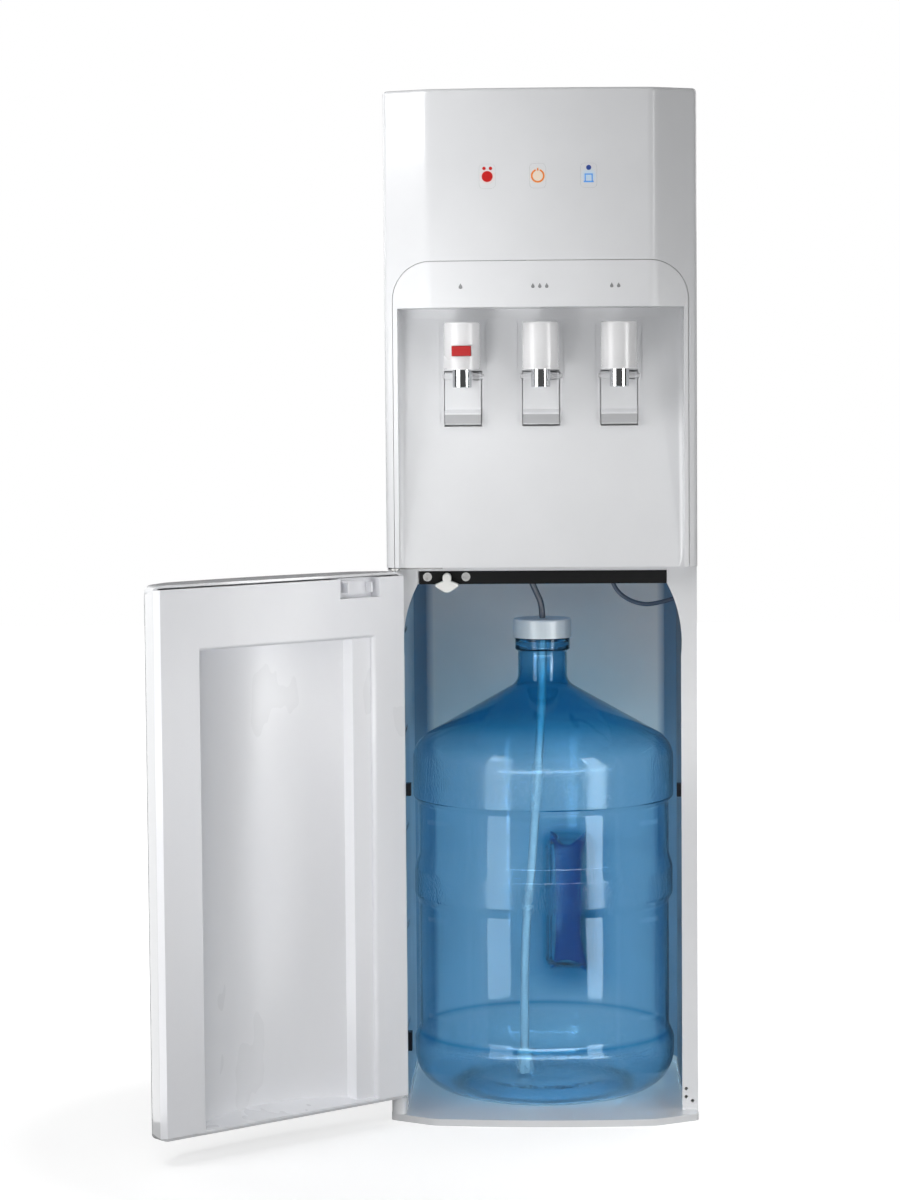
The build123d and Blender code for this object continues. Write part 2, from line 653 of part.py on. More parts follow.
with BuildPart() as hose_grommets:
    for (x, y), bore in ((hose_hole, 4.6), (lead_hole, 3.2)):
        upright(x, y, shelf_z - 1.5, shelf_z + 2.7, 9)
        with BuildSketch(Plane.XY.offset(shelf_z)):
            with Locations((x, y)):
                Circle(10)
                Circle(7, mode=Mode.SUBTRACT)
        extrude(amount=1.2, mode=Mode.SUBTRACT)
        upright(x, y, shelf_z - 3, shelf_z + 4, bore, mode=Mode.SUBTRACT)
    with Locations((bay_half + 0.5, lead_y, lead_z)):
        Cylinder(5.6, 3.2, rotation=(0, 90, 0))
        Cylinder(3.2, 6, rotation=(0, 90, 0), mode=Mode.SUBTRACT)
    with BuildSketch(Plane.YZ.offset(bay_half)):
        with Locations((lead_y, lead_z)):
            Circle(7)
            Circle(4.2, mode=Mode.SUBTRACT)
    extrude(amount=1, mode=Mode.SUBTRACT)
hose_grommets.part.label = "hose_grommets"
export_step(hose_grommets.part, "parts/hose_grommets.step")

# ---- Bay door, drawn where it stands when shut and placed by the opened frame ----
door_frame = Plane(Location((pin_x, pin_y, 0), (0, 0, -door_open)) * Location((-pin_x, -pin_y, 0)))


def door_upright(y):
    """Upright plane across the door that faces its outer side."""
    return Plane(origin=door_frame.from_local_coords((0, y, 0)), x_dir=door_frame.x_dir,
                 z_dir=-door_frame.y_dir)


def door_side(x):
    """Upright plane along the door's depth, with Y to the right and Z up."""
    return Plane(origin=door_frame.from_local_coords((x, 0, 0)), x_dir=door_frame.y_dir,
                 z_dir=door_frame.x_dir)


def door_box(low, high, mode=Mode.ADD):
    """A box in the door's own frame."""
    size = [b - a for a, b in zip(low, high)]
    with Locations(door_frame.location * Location(low)):
        Box(*size, align=(Align.MIN, Align.MIN, Align.MIN), mode=mode)


def door_bar(z_low, z_high, radius, mode=Mode.ADD):
    """A round bar on the hinge line."""
    upright(pin_x, pin_y, z_low, z_high, radius, mode=mode)


def door_plan(inset, back):
    """The door seen from above, drawn in by inset, with its open side at back."""
    rim = door_half - 4.3 - 0.41 * (back - door_seam_y)
    with BuildSketch() as face:
        with BuildLine():
            ThreePointArc((-flank_x, flank_y), (0, front_y), (flank_x, flank_y))
            Polyline((flank_x, flank_y), (door_half, side_y), (rim, back), (-rim, back),
                     (-door_half, side_y), (-flank_x, flank_y))
        make_face()
        fillet(face.vertices().group_by(Axis.Y)[0], radius=flank_radius)
        fillet(face.vertices().filter_by_position(Axis.Y, side_y - 0.5, side_y + 0.5), radius=5)
        if inset:
            offset(amount=-inset)
    return face.sketch


def door_block(inset, back):
    """The door's shell as a full block with rounded corners."""
    middle = (door_bottom + door_top) / 2
    with BuildPart() as block:
        with BuildSketch(door_frame.offset(door_bottom + inset)):
            add(door_plan(inset, back))
        extrude(amount=door_top - door_bottom - 2 * inset)
        with BuildSketch(door_upright(-90)):
            with Locations((0, middle)):
                RectangleRounded(2 * (door_half - inset), door_top - door_bottom - 2 * inset,
                                 14 - inset)
        extrude(amount=90, mode=Mode.INTERSECT)
    return block.part


bush_radius = 3.4
door_outside = door_block(0, door_seam_y)
door_inside = door_block(shell_wall, door_seam_y + 6)
with BuildPart() as door_bosses:
    door_bar(door_bottom, door_bottom + 14, 5.6)
    door_bar(door_top - 14, door_top, 5.6)
    add(door_outside, mode=Mode.INTERSECT)
with BuildPart() as door_outer:
    add(door_outside)
    add(door_inside, mode=Mode.SUBTRACT)
    add(door_bosses.part)
    door_bar(0, 600, bush_radius, mode=Mode.SUBTRACT)
door_outer.part.label = "door_outer"
export_step(door_outer.part, "parts/door_outer.step")

with BuildPart() as door_bushes:
    for low in (door_bottom, door_top - 14):
        door_bar(low, low + 14, bush_radius)
    door_bar(0, 600, pin_radius + running_gap, mode=Mode.SUBTRACT)
door_bushes.part.label = "door_bushes"
export_step(door_bushes.part, "parts/door_bushes.step")

with BuildPart() as hinge_pins:
    door_bar(door_bottom + 14 - pin_length, door_bottom + 14, pin_radius)
    door_bar(bracket_z + 2 - pin_length, bracket_z + 2, pin_radius)
hinge_pins.part.label = "hinge_pins"
export_step(hinge_pins.part, "parts/hinge_pins.step")

with BuildPart() as hinge_bracket:
    upright(pin_x, pin_y, bracket_z, bracket_z + 2, 5)
    box_between((pin_x - 4.8, pin_y, bracket_z), (pin_x + 5, frame_y + frame_depth, bracket_z + 2))
    box_between((pin_x - 4.8, frame_y, bracket_z), (-100, frame_y + frame_depth, bracket_z + 2))
    upright(pin_x, pin_y, bracket_z - 1, bracket_z + 3, pin_radius, mode=Mode.SUBTRACT)
hinge_bracket.part.label = "hinge_bracket"
export_step(hinge_bracket.part, "parts/hinge_bracket.step")

recess_left, recess_right, recess_top = -108.0, 98.0, 493.0
ledge_x = -86.0  # a shallow ledge runs down the hinge side
notch = ((-117, -131.5, 533), (-68, -110, 560))


def liner_recess(grow):
    """Hollow in the liner that follows the bottle, larger by grow."""
    with BuildPart() as hollow:
        with BuildSketch(door_frame.offset(20)) as hollow_plan:
            with BuildLine():
                Polyline((ledge_x + 5, liner_y - 14), (ledge_x, liner_y - 5),
                         (recess_left, liner_y - 5), (recess_left, liner_y),
                         (recess_left - 9, liner_y), (recess_left - 9, -105),
                         (recess_right + 9, -105), (recess_right + 9, liner_y),
                         (recess_right, liner_y), (recess_right, liner_y - 12))
                ThreePointArc((recess_right, liner_y - 12), (4, liner_y - 29),
                              (ledge_x + 5, liner_y - 14))
            make_face()
            rims = hollow_plan.vertices().filter_by_position(Axis.Y, liner_y - 0.1, liner_y + 0.1)
            fillet(rims.filter_by_position(Axis.X, recess_left - 1, recess_right + 1), radius=3.5)
            fillet(hollow_plan.vertices().filter_by_position(Axis.Y, liner_y - 12.5, liner_y - 11.5),
                   radius=5)
            if grow:
                offset(amount=grow)
        extrude(amount=500)
        with BuildSketch(door_side(-130)) as hollow_side:
            with BuildLine():
                Polyline((-100, 25 - grow), (liner_y, 29.5 - grow), (-152, 38.4 - grow),
                         (-152, recess_top - 3 + grow), (liner_y, recess_top + grow),
                         (liner_y, recess_top + 9 + grow), (-100, recess_top + 9 + grow),
                         close=True)
            make_face()
            fillet(hollow_side.vertices().filter_by_position(Axis.Y, recess_top - 1 + grow,
                                                             recess_top + 1 + grow), radius=3.5)
        extrude(amount=260, mode=Mode.INTERSECT)
    return hollow.part


liner_hollow = liner_recess(0)
liner_basin = liner_recess(2)
with BuildPart() as door_liner:
    with BuildSketch(door_frame.offset(28)):
        with BuildLine():
            Polyline((-147, liner_y), (144.5, liner_y), (149.3, door_seam_y),
                     (-149.3, door_seam_y), close=True)
        make_face()
    extrude(amount=524.5)
    with BuildSketch(door_frame.offset(30)):
        with BuildLine():
            Polyline((-145, liner_y - 2), (142.4, liner_y - 2), (147, door_seam_y - 1),
                     (-147, door_seam_y - 1), close=True)
        make_face()
    extrude(amount=520.5, mode=Mode.SUBTRACT)
    add(liner_basin)
    door_box((-119, -133.5, 531), (-66, liner_y - 1, 552.5))
    door_box((-160, liner_y, 0), (160, -80, 600), mode=Mode.SUBTRACT)
    add(liner_hollow, mode=Mode.SUBTRACT)
    door_box(notch[0], notch[1], mode=Mode.SUBTRACT)
door_liner.part.label = "door_liner"
export_step(door_liner.part, "parts/door_liner.step")

with BuildPart() as door_catch:
    door_box((-113, -131.5, 536), (-75, -129.5, 550))
    for x in (-110.5, -81.5):
        door_box((x, -129.5, 538), (x + 2, -120.5, 548))
door_catch.part.label = "door_catch"
export_step(door_catch.part, "parts/door_catch.step")

# ---- Cooling unit, tanks, pump and electrics above the shelf ----
comp_x, comp_y = 62.0, 90.0
with BuildPart() as compressor:
    box_between((12, 42, 556), (112, 138, 559))
    upright(comp_x, comp_y, 559, 690, 56)
    fillet(compressor.edges().group_by(Axis.Z)[-1], radius=26)
    upright(comp_x, comp_y, 618, 624, 58)
    box_between((112, 78, 585), (128, 104, 625))
compressor.part.label = "compressor"
export_step(compressor.part, "parts/compressor.step")

with BuildPart() as compressor_feet:
    for x, y in foot_places:
        upright(x, y, shelf_z + 1.2, 556, 8)
compressor_feet.part.label = "compressor_feet"
export_step(compressor_feet.part, "parts/compressor_feet.step")

tank_x, tank_y, tank_radius = 68.0, 22.0, 50.0
hot_x, hot_y, hot_radius = -88.0, 85.0, 45.0
link_y, link_z, link_radius = 60.0, 756.0, 4.0


def cold_tank_solid(inset):
    """The cold tank with its two outlets, drawn in by inset."""
    with BuildPart() as solid:
        upright(tank_x, tank_y, 745 + inset, 905 - inset, tank_radius - inset)
        level(tap_x["cold"], stem_z, stem_end_y, tank_y, stem_radius - 2 * inset)
        level(tap_x["room"], stem_z, stem_end_y - 4, tank_y, stem_radius - 2 * inset)
        with Locations((tank_x / 2, tank_y, stem_z)):
            Cylinder(stem_radius - 2 * inset, tank_x, rotation=(0, 90, 0))
        with Locations((0, tank_y, stem_z)):
            Sphere(stem_radius - 2 * inset)
        upright(40, 25, 900, 936, 5 - 2 * inset)
    return solid.part


cold_solid = cold_tank_solid(0)
cold_hollow = cold_tank_solid(tank_wall)
with BuildPart() as cold_tank:
    add(cold_solid)
    add(cold_hollow, mode=Mode.SUBTRACT)
    with Locations((20, link_y, link_z)):
        Cylinder(link_radius, 60, rotation=(0, 90, 0), mode=Mode.SUBTRACT)
cold_tank.part.label = "cold_tank"
export_step(cold_tank.part, "parts/cold_tank.step")

with BuildPart() as cold_tank_insulation:
    box_between((-15, -50, 720), (151, 94, 930))
    fillet(cold_tank_insulation.edges().filter_by(Axis.Z), radius=8)
    box_between((-4, -48, shelf_z + 1.2), (146, 8, 725))
    box_between((4, -40, shelf_z), (138, 0, 700), mode=Mode.SUBTRACT)
    add(cold_solid, mode=Mode.SUBTRACT)
    upright(tank_x, tank_y, 745, 905, tank_radius, mode=Mode.SUBTRACT)
    with Locations((0, link_y, link_z)):
        Cylinder(link_radius + 0.2, 120, rotation=(0, 90, 0), mode=Mode.SUBTRACT)
cold_tank_insulation.part.label = "cold_tank_insulation"
export_step(cold_tank_insulation.part, "parts/cold_tank_insulation.step")

with BuildPart() as hot_tank:
    upright(hot_x, hot_y, 640, 800, hot_radius)
    for turn in (90, 210, 330):
        with Locations(Location((hot_x, hot_y, 0), (0, 0, turn))):
            with Locations((36, 0, shelf_z + 1.2)):
                Cylinder(4, 95, align=(Align.CENTER, Align.CENTER, Align.MIN))
    level(tap_x["hot"], stem_z, stem_end_y, hot_y, stem_radius)
    upright(hot_x, hot_y, 640 + tank_wall, 800 - tank_wall, hot_radius - tank_wall,
            mode=Mode.SUBTRACT)
    level(tap_x["hot"], stem_z, stem_end_y - 1, hot_y, 3.5, mode=Mode.SUBTRACT)
    with Locations((-40, link_y, link_z)):
        Cylinder(link_radius, 60, rotation=(0, 90, 0), mode=Mode.SUBTRACT)
    upright(drain_x, hot_y, 630, 645, 5, mode=Mode.SUBTRACT)
hot_tank.part.label = "hot_tank"
export_step(hot_tank.part, "parts/hot_tank.step")

with BuildPart() as tank_link:
    with Locations((-6, link_y, link_z)):
        Cylinder(link_radius, 100, rotation=(0, 90, 0))
        Cylinder(link_radius - tank_wall, 102, rotation=(0, 90, 0), mode=Mode.SUBTRACT)
tank_link.part.label = "tank_link"
export_step(tank_link.part, "parts/tank_link.step")

with BuildPart() as drain_spigot:
    upright(drain_x, hot_y, drain_z, 642, 5)
    level(drain_x, drain_z, hot_y - 5, rear_y + 11, 5)
    level(drain_x, drain_z, rear_y, rear_y + 2, 12)
    level(drain_x, drain_z, rear_y + 5, rear_y + 13, 8)
    upright(drain_x, hot_y, drain_z - 2, 643, 3.4, mode=Mode.SUBTRACT)
    level(drain_x, drain_z, hot_y, rear_y + 9, 3.4, mode=Mode.SUBTRACT)
drain_spigot.part.label = "drain_spigot"
export_step(drain_spigot.part, "parts/drain_spigot.step")

with BuildPart() as water_pump:
    box_between((-122, -62, shelf_z + 1.2), (-86, -28, 578))
    fillet(water_pump.edges().filter_by(Axis.Z), radius=5)
    upright(-110, -45, 578, 590, 5)
    upright(-95, -45, 578, 592, 5)
    upright(-110, -45, 570, 591, 2, mode=Mode.SUBTRACT)
    upright(-95, -45, 570, 593, 2.8, mode=Mode.SUBTRACT)
water_pump.part.label = "water_pump"
export_step(water_pump.part, "parts/water_pump.step")

with BuildPart() as control_board:
    box_between((-70, 150, 908), (58, 151.6, 990))
    for x, z, wide, high in ((-48, 934, 26, 30), (-10, 930, 22, 22), (28, 936, 30, 18)):
        box_between((x - wide / 2, 130, z - high / 2), (x + wide / 2, 150, z + high / 2))
    for x in (-64, 52):
        for z in (914, 984):
            level(x, z, 151, rear_y - sheet, 3)
control_board.part.label = "control_board"
export_step(control_board.part, "parts/control_board.step")

coil_y = 171.0
coil_rows = 15
row_pitch = 34.0
row_top = 588.0
with BuildPart() as condenser:
    coil_points = [(coil_in[0], 150, coil_in[1]), (coil_in[0], coil_y, coil_in[1])]
    for row in range(coil_rows):
        z = row_top - row_pitch * row
        left = coil_in[0] if row == 0 else -120
        ends = [(left, coil_y, z), (120, coil_y, z)]
        if row % 2:
            ends.reverse()
        coil_points += ends
    coil_points[-1] = (coil_out[0], coil_y, row_top - row_pitch * (coil_rows - 1))
    coil_points += [(coil_out[0], coil_y, coil_out[1]), (coil_out[0], 150, coil_out[1])]
    coil_radii = [8] * 2 + [16.9] * (len(coil_points) - 6) + [16.9, 8]
    with BuildLine() as coil_line:
        FilletPolyline(*coil_points, radius=coil_radii)
    coil_wire = coil_line.wires()[0]
    with BuildSketch(Plane(origin=coil_wire @ 0, z_dir=coil_wire % 0)):
        Circle(2.5)
    sweep(path=coil_wire)
    for x in (-90, 0, 90):  # flat straps that hold the tube off the rear panel
        box_between((x - 6, rear_y, 96), (x + 6, coil_y - 2, 602))
condenser.part.label = "condenser"
export_step(condenser.part, "parts/condenser.step")

rocker_y = 158.5
rocker_tilt = 9.0
for name, x in zip(("hot_switch", "cold_switch"), switch_x):
    with BuildPart() as rocker:
        tilt = math.radians(rocker_tilt)
        with BuildSketch(Plane(origin=(x - 5.8, rocker_y, switch_z), z_dir=(1, 0, 0),
                               x_dir=(0, math.cos(tilt), math.sin(tilt)))):
            with BuildLine():
                Polyline((7, 7.6), (6, 0), (7, -7.6), (-2, -6), (-5, 0), (-2, 6), close=True)
            make_face()
        extrude(amount=11.6)
        with Locations((x, rocker_y, switch_z)):
            Cylinder(1, 13.2, rotation=(0, 90, 0))
    rocker.part.label = name
    export_step(rocker.part, f"parts/{name}.step")

with BuildPart() as switch_housings:
    for x in switch_x:
        box_between((x - 6.9, 144, switch_z - 10.4), (x + 6.9, rear_y + 0.5, switch_z + 10.4))
        box_between((x - 8.5, rear_y, switch_z - 12), (x + 8.5, rear_y + 1.2, switch_z + 12))
        box_between((x - 6, 147, switch_z - 9.5), (x + 6, rear_y + 5, switch_z + 9.5),
                    mode=Mode.SUBTRACT)
        with Locations((x, rocker_y, switch_z)):
            Cylinder(1 + running_gap, 13.3, rotation=(0, 90, 0), mode=Mode.SUBTRACT)
switch_housings.part.label = "switch_housings"
export_step(switch_housings.part, "parts/switch_housings.step")

with BuildPart() as cable_gland:
    level(gland_x, gland_z, 152, rear_y + 12, 8)
    level(gland_x, gland_z, rear_y, rear_y + 4, 11)
    level(gland_x, gland_z, 150, rear_y + 14, 3.8, mode=Mode.SUBTRACT)
cable_gland.part.label = "cable_gland"
export_step(cable_gland.part, "parts/cable_gland.step")
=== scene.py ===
import math

import bmesh
import bpy
import numpy as np
from mathutils import Matrix, Vector


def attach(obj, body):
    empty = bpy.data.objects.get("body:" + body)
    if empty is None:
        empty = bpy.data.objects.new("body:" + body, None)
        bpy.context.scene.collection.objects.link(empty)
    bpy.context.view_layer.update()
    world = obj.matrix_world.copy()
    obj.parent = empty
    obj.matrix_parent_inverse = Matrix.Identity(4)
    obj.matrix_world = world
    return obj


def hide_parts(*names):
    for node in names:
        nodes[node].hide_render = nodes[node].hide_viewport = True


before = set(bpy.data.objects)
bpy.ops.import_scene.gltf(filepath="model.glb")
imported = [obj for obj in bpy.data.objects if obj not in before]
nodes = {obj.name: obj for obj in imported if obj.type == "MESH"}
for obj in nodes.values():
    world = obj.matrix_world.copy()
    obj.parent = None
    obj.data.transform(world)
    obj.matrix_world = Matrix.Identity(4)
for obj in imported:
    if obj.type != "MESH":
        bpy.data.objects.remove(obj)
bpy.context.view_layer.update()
scene = bpy.context.scene
print("frame loaded:", len(nodes), "nodes")


def linear(red, green, blue):
    # screen colour 0-255 to the linear values a shader socket takes
    def one(c):
        c = c / 255
        return c / 12.92 if c <= 0.04045 else ((c + 0.055) / 1.055) ** 2.4
    return (one(red), one(green), one(blue), 1.0)


def bare(name):
    # a material with its principled shader and the object coordinates
    mat = bpy.data.materials.new(name)
    mat.use_nodes = True
    tree = mat.node_tree
    shader = next(n for n in tree.nodes if n.type == "BSDF_PRINCIPLED")
    where = tree.nodes.new("ShaderNodeTexCoord").outputs["Object"]
    return mat, tree, shader, where


def noise(tree, where, scale, detail=2.0, stretch=None):
    # soft random field; stretch squeezes it along x, y, z
    if stretch:
        mapping = tree.nodes.new("ShaderNodeMapping")
        mapping.inputs["Scale"].default_value = stretch
        tree.links.new(where, mapping.inputs["Vector"])
        where = mapping.outputs["Vector"]
    field = tree.nodes.new("ShaderNodeTexNoise")
    field.inputs["Scale"].default_value = scale
    field.inputs["Detail"].default_value = detail
    tree.links.new(where, field.inputs["Vector"])
    return field.outputs["Fac"]


def spread(tree, field, low, high, fromLow=0.3, fromHigh=0.7):
    # maps a field's fromLow..fromHigh onto low..high
    span = tree.nodes.new("ShaderNodeMapRange")
    span.inputs["From Min"].default_value = fromLow
    span.inputs["From Max"].default_value = fromHigh
    span.inputs["To Min"].default_value = low
    span.inputs["To Max"].default_value = high
    tree.links.new(field, span.inputs["Value"])
    return span.outputs["Result"]


def tint(tree, field, first, second):
    # blends two colours softly by a random field
    ramp = tree.nodes.new("ShaderNodeValToRGB")
    ramp.color_ramp.elements[0].position = 0.3
    ramp.color_ramp.elements[0].color = first
    ramp.color_ramp.elements[1].position = 0.7
    ramp.color_ramp.elements[1].color = second
    tree.links.new(field, ramp.inputs["Fac"])
    return ramp.outputs["Color"]


def relief(tree, shader, field, depth, before=None):
    # bump of the given depth in metres
    bump = tree.nodes.new("ShaderNodeBump")
    bump.inputs["Distance"].default_value = depth
    bump.inputs["Strength"].default_value = 1.0
    tree.links.new(field, bump.inputs["Height"])
    if before is not None:
        tree.links.new(before, bump.inputs["Normal"])
    tree.links.new(bump.outputs["Normal"], shader.inputs["Normal"])
    return bump.outputs["Normal"]


def plastic(name, colour, shade, rough=(0.2, 0.3), coat=0.0, grain=900, depth=0.00002,
            cloud=14, metallic=0.0, stretch=None, specular=0.5):
    # moulded or painted surface: faint clouding, uneven gloss and a fine grain
    mat, tree, shader, where = bare(name)
    soft = noise(tree, where, cloud, 3, stretch)
    fine = noise(tree, where, grain, 2, stretch)
    tree.links.new(tint(tree, soft, colour, shade), shader.inputs["Base Color"])
    tree.links.new(spread(tree, soft, *rough), shader.inputs["Roughness"])
    relief(tree, shader, fine, depth)
    shader.inputs["Metallic"].default_value = metallic
    shader.inputs["Specular IOR Level"].default_value = specular
    if coat:
        shader.inputs["Coat Weight"].default_value = coat
        shader.inputs["Coat Roughness"].default_value = gloss["coatRoughness"]
    return mat


def blended(tree, factor, first, second):
    # the first colour where the factor is 0, the second where it is 1; sockets or values
    mix = tree.nodes.new("ShaderNodeMix")
    mix.data_type = "RGBA"
    for socket, value in (("Factor", factor), ("A", first), ("B", second)):
        if isinstance(value, bpy.types.NodeSocket):
            tree.links.new(value, mix.inputs[socket])
        else:
            mix.inputs[socket].default_value = value
    return mix.outputs["Result"]


def product(tree, first, second):
    # two fields multiplied
    times = tree.nodes.new("ShaderNodeMath")
    times.operation = "MULTIPLY"
    tree.links.new(first, times.inputs[0])
    tree.links.new(second, times.inputs[1])
    return times.outputs[0]


def distance(tree, where, centre, mask):
    # how far a point lies from the centre along the masked axes
    apart = tree.nodes.new("ShaderNodeVectorMath")
    apart.operation = "SUBTRACT"
    apart.inputs[1].default_value = centre
    tree.links.new(where, apart.inputs[0])
    flat = tree.nodes.new("ShaderNodeVectorMath")
    flat.operation = "MULTIPLY"
    flat.inputs[1].default_value = mask
    tree.links.new(apart.outputs[0], flat.inputs[0])
    length = tree.nodes.new("ShaderNodeVectorMath")
    length.operation = "LENGTH"
    tree.links.new(flat.outputs[0], length.inputs[0])
    return length.outputs["Value"]


def paint(nodeName, material):
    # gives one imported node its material
    for slot in nodes[nodeName].material_slots:
        slot.material = material


white = dict(colour=linear(228, 229, 231), shade=linear(224, 225, 227))
# the cover's gloss, which its clear windows share; every coat has the same roughness
gloss = {"coat": 0.35, "coatRoughness": 0.06, "rough": (0.2, 0.26)}

finishes = {
    "coverGloss": plastic("coverGloss", rough=gloss["rough"], coat=gloss["coat"], depth=0.000008,
                          **white),
    "nichePlastic": plastic("nichePlastic", rough=(0.3, 0.36), coat=0.15, depth=0.00001, **white),
    "sidePaint": plastic("sidePaint", rough=(0.32, 0.4), grain=420, depth=0.00002, **white),
    "framePlastic": plastic("framePlastic", rough=(0.3, 0.38), depth=0.00001, **white),
    "rearPaint": plastic("rearPaint", linear(176, 178, 181), linear(170, 172, 175), (0.4, 0.5),
                         grain=420, depth=0.00004),
    # painted shade: the bay's shelf and walls are darker and bluer than their plastic, for the shade
    # and the bottle's blue light there; the right wall darkest
    "bayBlueShade": plastic("bayBlueShade", linear(204, 219, 238), linear(196, 212, 233), (0.42, 0.5),
                        grain=420, depth=0.00003),
    "bayLeftShade": plastic("bayLeftShade", linear(150, 178, 198), linear(144, 172, 192),
                           (0.42, 0.5), grain=420, depth=0.00003),
    "bayRightShade": plastic("bayRightShade", linear(76, 101, 123), linear(72, 96, 118),
                            (0.42, 0.5), grain=420, depth=0.00003),
    "linerPlastic": plastic("linerPlastic", linear(238, 239, 242), linear(234, 235, 239),
                            (0.26, 0.36), grain=700, depth=0.00002, stretch=(1, 1, 0.4)),
    "doorGloss": plastic("doorGloss", rough=(0.16, 0.22), coat=0.4, depth=0.000008, **white),
    "barBlack": plastic("barBlack", linear(6, 7, 8), linear(10, 11, 12), (0.5, 0.65),
                        depth=0.00004, specular=0.12),
    "clipBlack": plastic("clipBlack", linear(14, 18, 26), linear(20, 25, 33), (0.4, 0.55),
                         depth=0.00005, specular=0.2),
    "screwZinc": plastic("screwZinc", linear(176, 176, 174), linear(160, 160, 160), (0.35, 0.5),
                         metallic=0.5, grain=2500, depth=0.00003),
    "pinPale": plastic("pinPale", linear(222, 222, 223), linear(212, 212, 214), (0.35, 0.45),
                       grain=1500, depth=0.00002),
    "strikePlastic": plastic("strikePlastic", linear(243, 243, 240), linear(236, 236, 233),
                             (0.25, 0.35), depth=0.00002),
    "tapPlastic": plastic("tapPlastic", linear(226, 226, 227), linear(221, 221, 222),
                          (0.22, 0.28), coat=0.15, depth=0.000006),
    "spoutChrome": plastic("spoutChrome", linear(216, 217, 219), linear(206, 208, 210),
                           (0.05, 0.1), metallic=1.0, depth=0.000004),
    "lockRed": plastic("lockRed", linear(188, 8, 10), linear(172, 5, 7), (0.45, 0.55),
                       depth=0.00002),
    "capPlastic": plastic("capPlastic", linear(238, 247, 251), linear(231, 240, 245),
                          (0.3, 0.4), grain=1200, depth=0.00003),
    "bushNylon": plastic("bushNylon", linear(226, 226, 220), linear(216, 216, 210), (0.35, 0.5)),
    "rubberBlack": plastic("rubberBlack", linear(26, 26, 28), linear(34, 34, 36), (0.6, 0.8),
                           depth=0.00008),
    "potBlack": plastic("potBlack", linear(22, 22, 24), linear(30, 30, 32), (0.28, 0.45),
                        grain=300, depth=0.00005, coat=0.2),
    "tankSteel": plastic("tankSteel", linear(188, 188, 186), linear(168, 168, 168), (0.25, 0.4),
                         metallic=1.0, stretch=(1, 1, 30)),
    "foamWhite": plastic("foamWhite", linear(236, 236, 232), linear(222, 222, 218), (0.7, 0.85),
                         grain=260, depth=0.0004),
    "pumpGrey": plastic("pumpGrey", linear(70, 72, 76), linear(58, 60, 64), (0.4, 0.55),
                        depth=0.00005),
    "boardGreen": plastic("boardGreen", linear(30, 92, 52), linear(24, 78, 44), (0.35, 0.5),
                          cloud=60),
    "housingBlack": plastic("housingBlack", linear(22, 22, 23), linear(28, 28, 29), (0.4, 0.5),
                            depth=0.00004),
    "rockerRed": plastic("rockerRed", linear(190, 24, 20), linear(176, 18, 16), (0.2, 0.3)),
    "rockerGreen": plastic("rockerGreen", linear(22, 128, 60), linear(18, 114, 52), (0.2, 0.3)),
    "hoseGrey": plastic("hoseGrey", linear(92, 100, 112), linear(80, 88, 100), (0.35, 0.5),
                        depth=0.00002),
    "leadGrey": plastic("leadGrey", linear(84, 98, 118), linear(74, 88, 108), (0.4, 0.55),
                        depth=0.00002),
}

finishOf = {
    "coverGloss": ["upper_fascia", "top_cover", "base_plinth"],
    "nichePlastic": ["dispenser_panel"],
    "sidePaint": ["side_panel_left", "side_panel_right"],
    "framePlastic": ["front_frame"],
    "rearPaint": ["rear_panel"],
    "bayBlueShade": ["divider_shelf"],
    "bayLeftShade": ["bay_wall_left"],
    "bayRightShade": ["bay_wall_right"],
    "linerPlastic": ["door_liner", "door_catch"],
    "doorGloss": ["door_outer"],
    "barBlack": ["latch_bar"],
    "clipBlack": ["wall_clips"],
    "screwZinc": ["latch_bar_screws", "hinge_pins", "hinge_bracket"],
    "pinPale": ["paddle_pins", "paddle_springs"],
    "strikePlastic": ["door_strike"],
    "tapPlastic": ["hot_tap_body", "room_tap_body", "cold_tap_body"],
    "spoutChrome": ["hot_spout", "room_spout", "cold_spout"],
    "lockRed": ["hot_lock_button"],
    "capPlastic": ["probe_cap"],
    "bushNylon": ["door_bushes"],
    "rubberBlack": ["hose_grommets", "compressor_feet"],
    "potBlack": ["compressor", "condenser"],
    "tankSteel": ["cold_tank", "hot_tank", "tank_link"],
    "foamWhite": ["cold_tank_insulation"],
    "pumpGrey": ["water_pump", "drain_spigot"],
    "boardGreen": ["indicator_board", "control_board"],
    "housingBlack": ["switch_housings", "cable_gland"],
    "rockerRed": ["hot_switch"],
    "rockerGreen": ["cold_switch"],
}
for finishName, names in finishOf.items():
    for name in names:
        paint(name, finishes[finishName])
print("finishes assigned to the packed nodes")


# heights between which the paddle's lip is painted grey for the shade at the lip, and how softly the
# strip ends
lipShadeStrip = {"low": 0.7026, "high": 0.7118, "soft": 0.0006, "colour": linear(186, 187, 189)}


def paddlePlastic():
    # white with a grey strip of painted shade across the lip
    mat, tree, shader, where = bare("paddlePlastic")
    cloud = noise(tree, where, 20, 2)
    place = tree.nodes.new("ShaderNodeSeparateXYZ")
    tree.links.new(where, place.inputs[0])
    height = place.outputs["Z"]
    low, high, soft = lipShadeStrip["low"], lipShadeStrip["high"], lipShadeStrip["soft"]
    below = spread(tree, height, 1.0, 0.0, high, high + soft)
    above = spread(tree, height, 0.0, 1.0, low, low + soft)
    plain = tint(tree, cloud, white["colour"], white["shade"])
    colour = blended(tree, product(tree, below, above), plain, lipShadeStrip["colour"])
    tree.links.new(colour, shader.inputs["Base Color"])
    tree.links.new(spread(tree, cloud, 0.3, 0.38), shader.inputs["Roughness"])
    relief(tree, shader, noise(tree, where, 900, 2), 0.00001)
    return mat


finishes["paddlePlastic"] = paddlePlastic()
for name in ("hot_paddle", "room_paddle", "cold_paddle"):
    paint(name, finishes["paddlePlastic"])


# painted shade: the bay's back wall turns darker blue between these distances from its middle
bayCornerShade = {"from": 0.121, "to": 0.13, "colour": linear(104, 136, 162)}


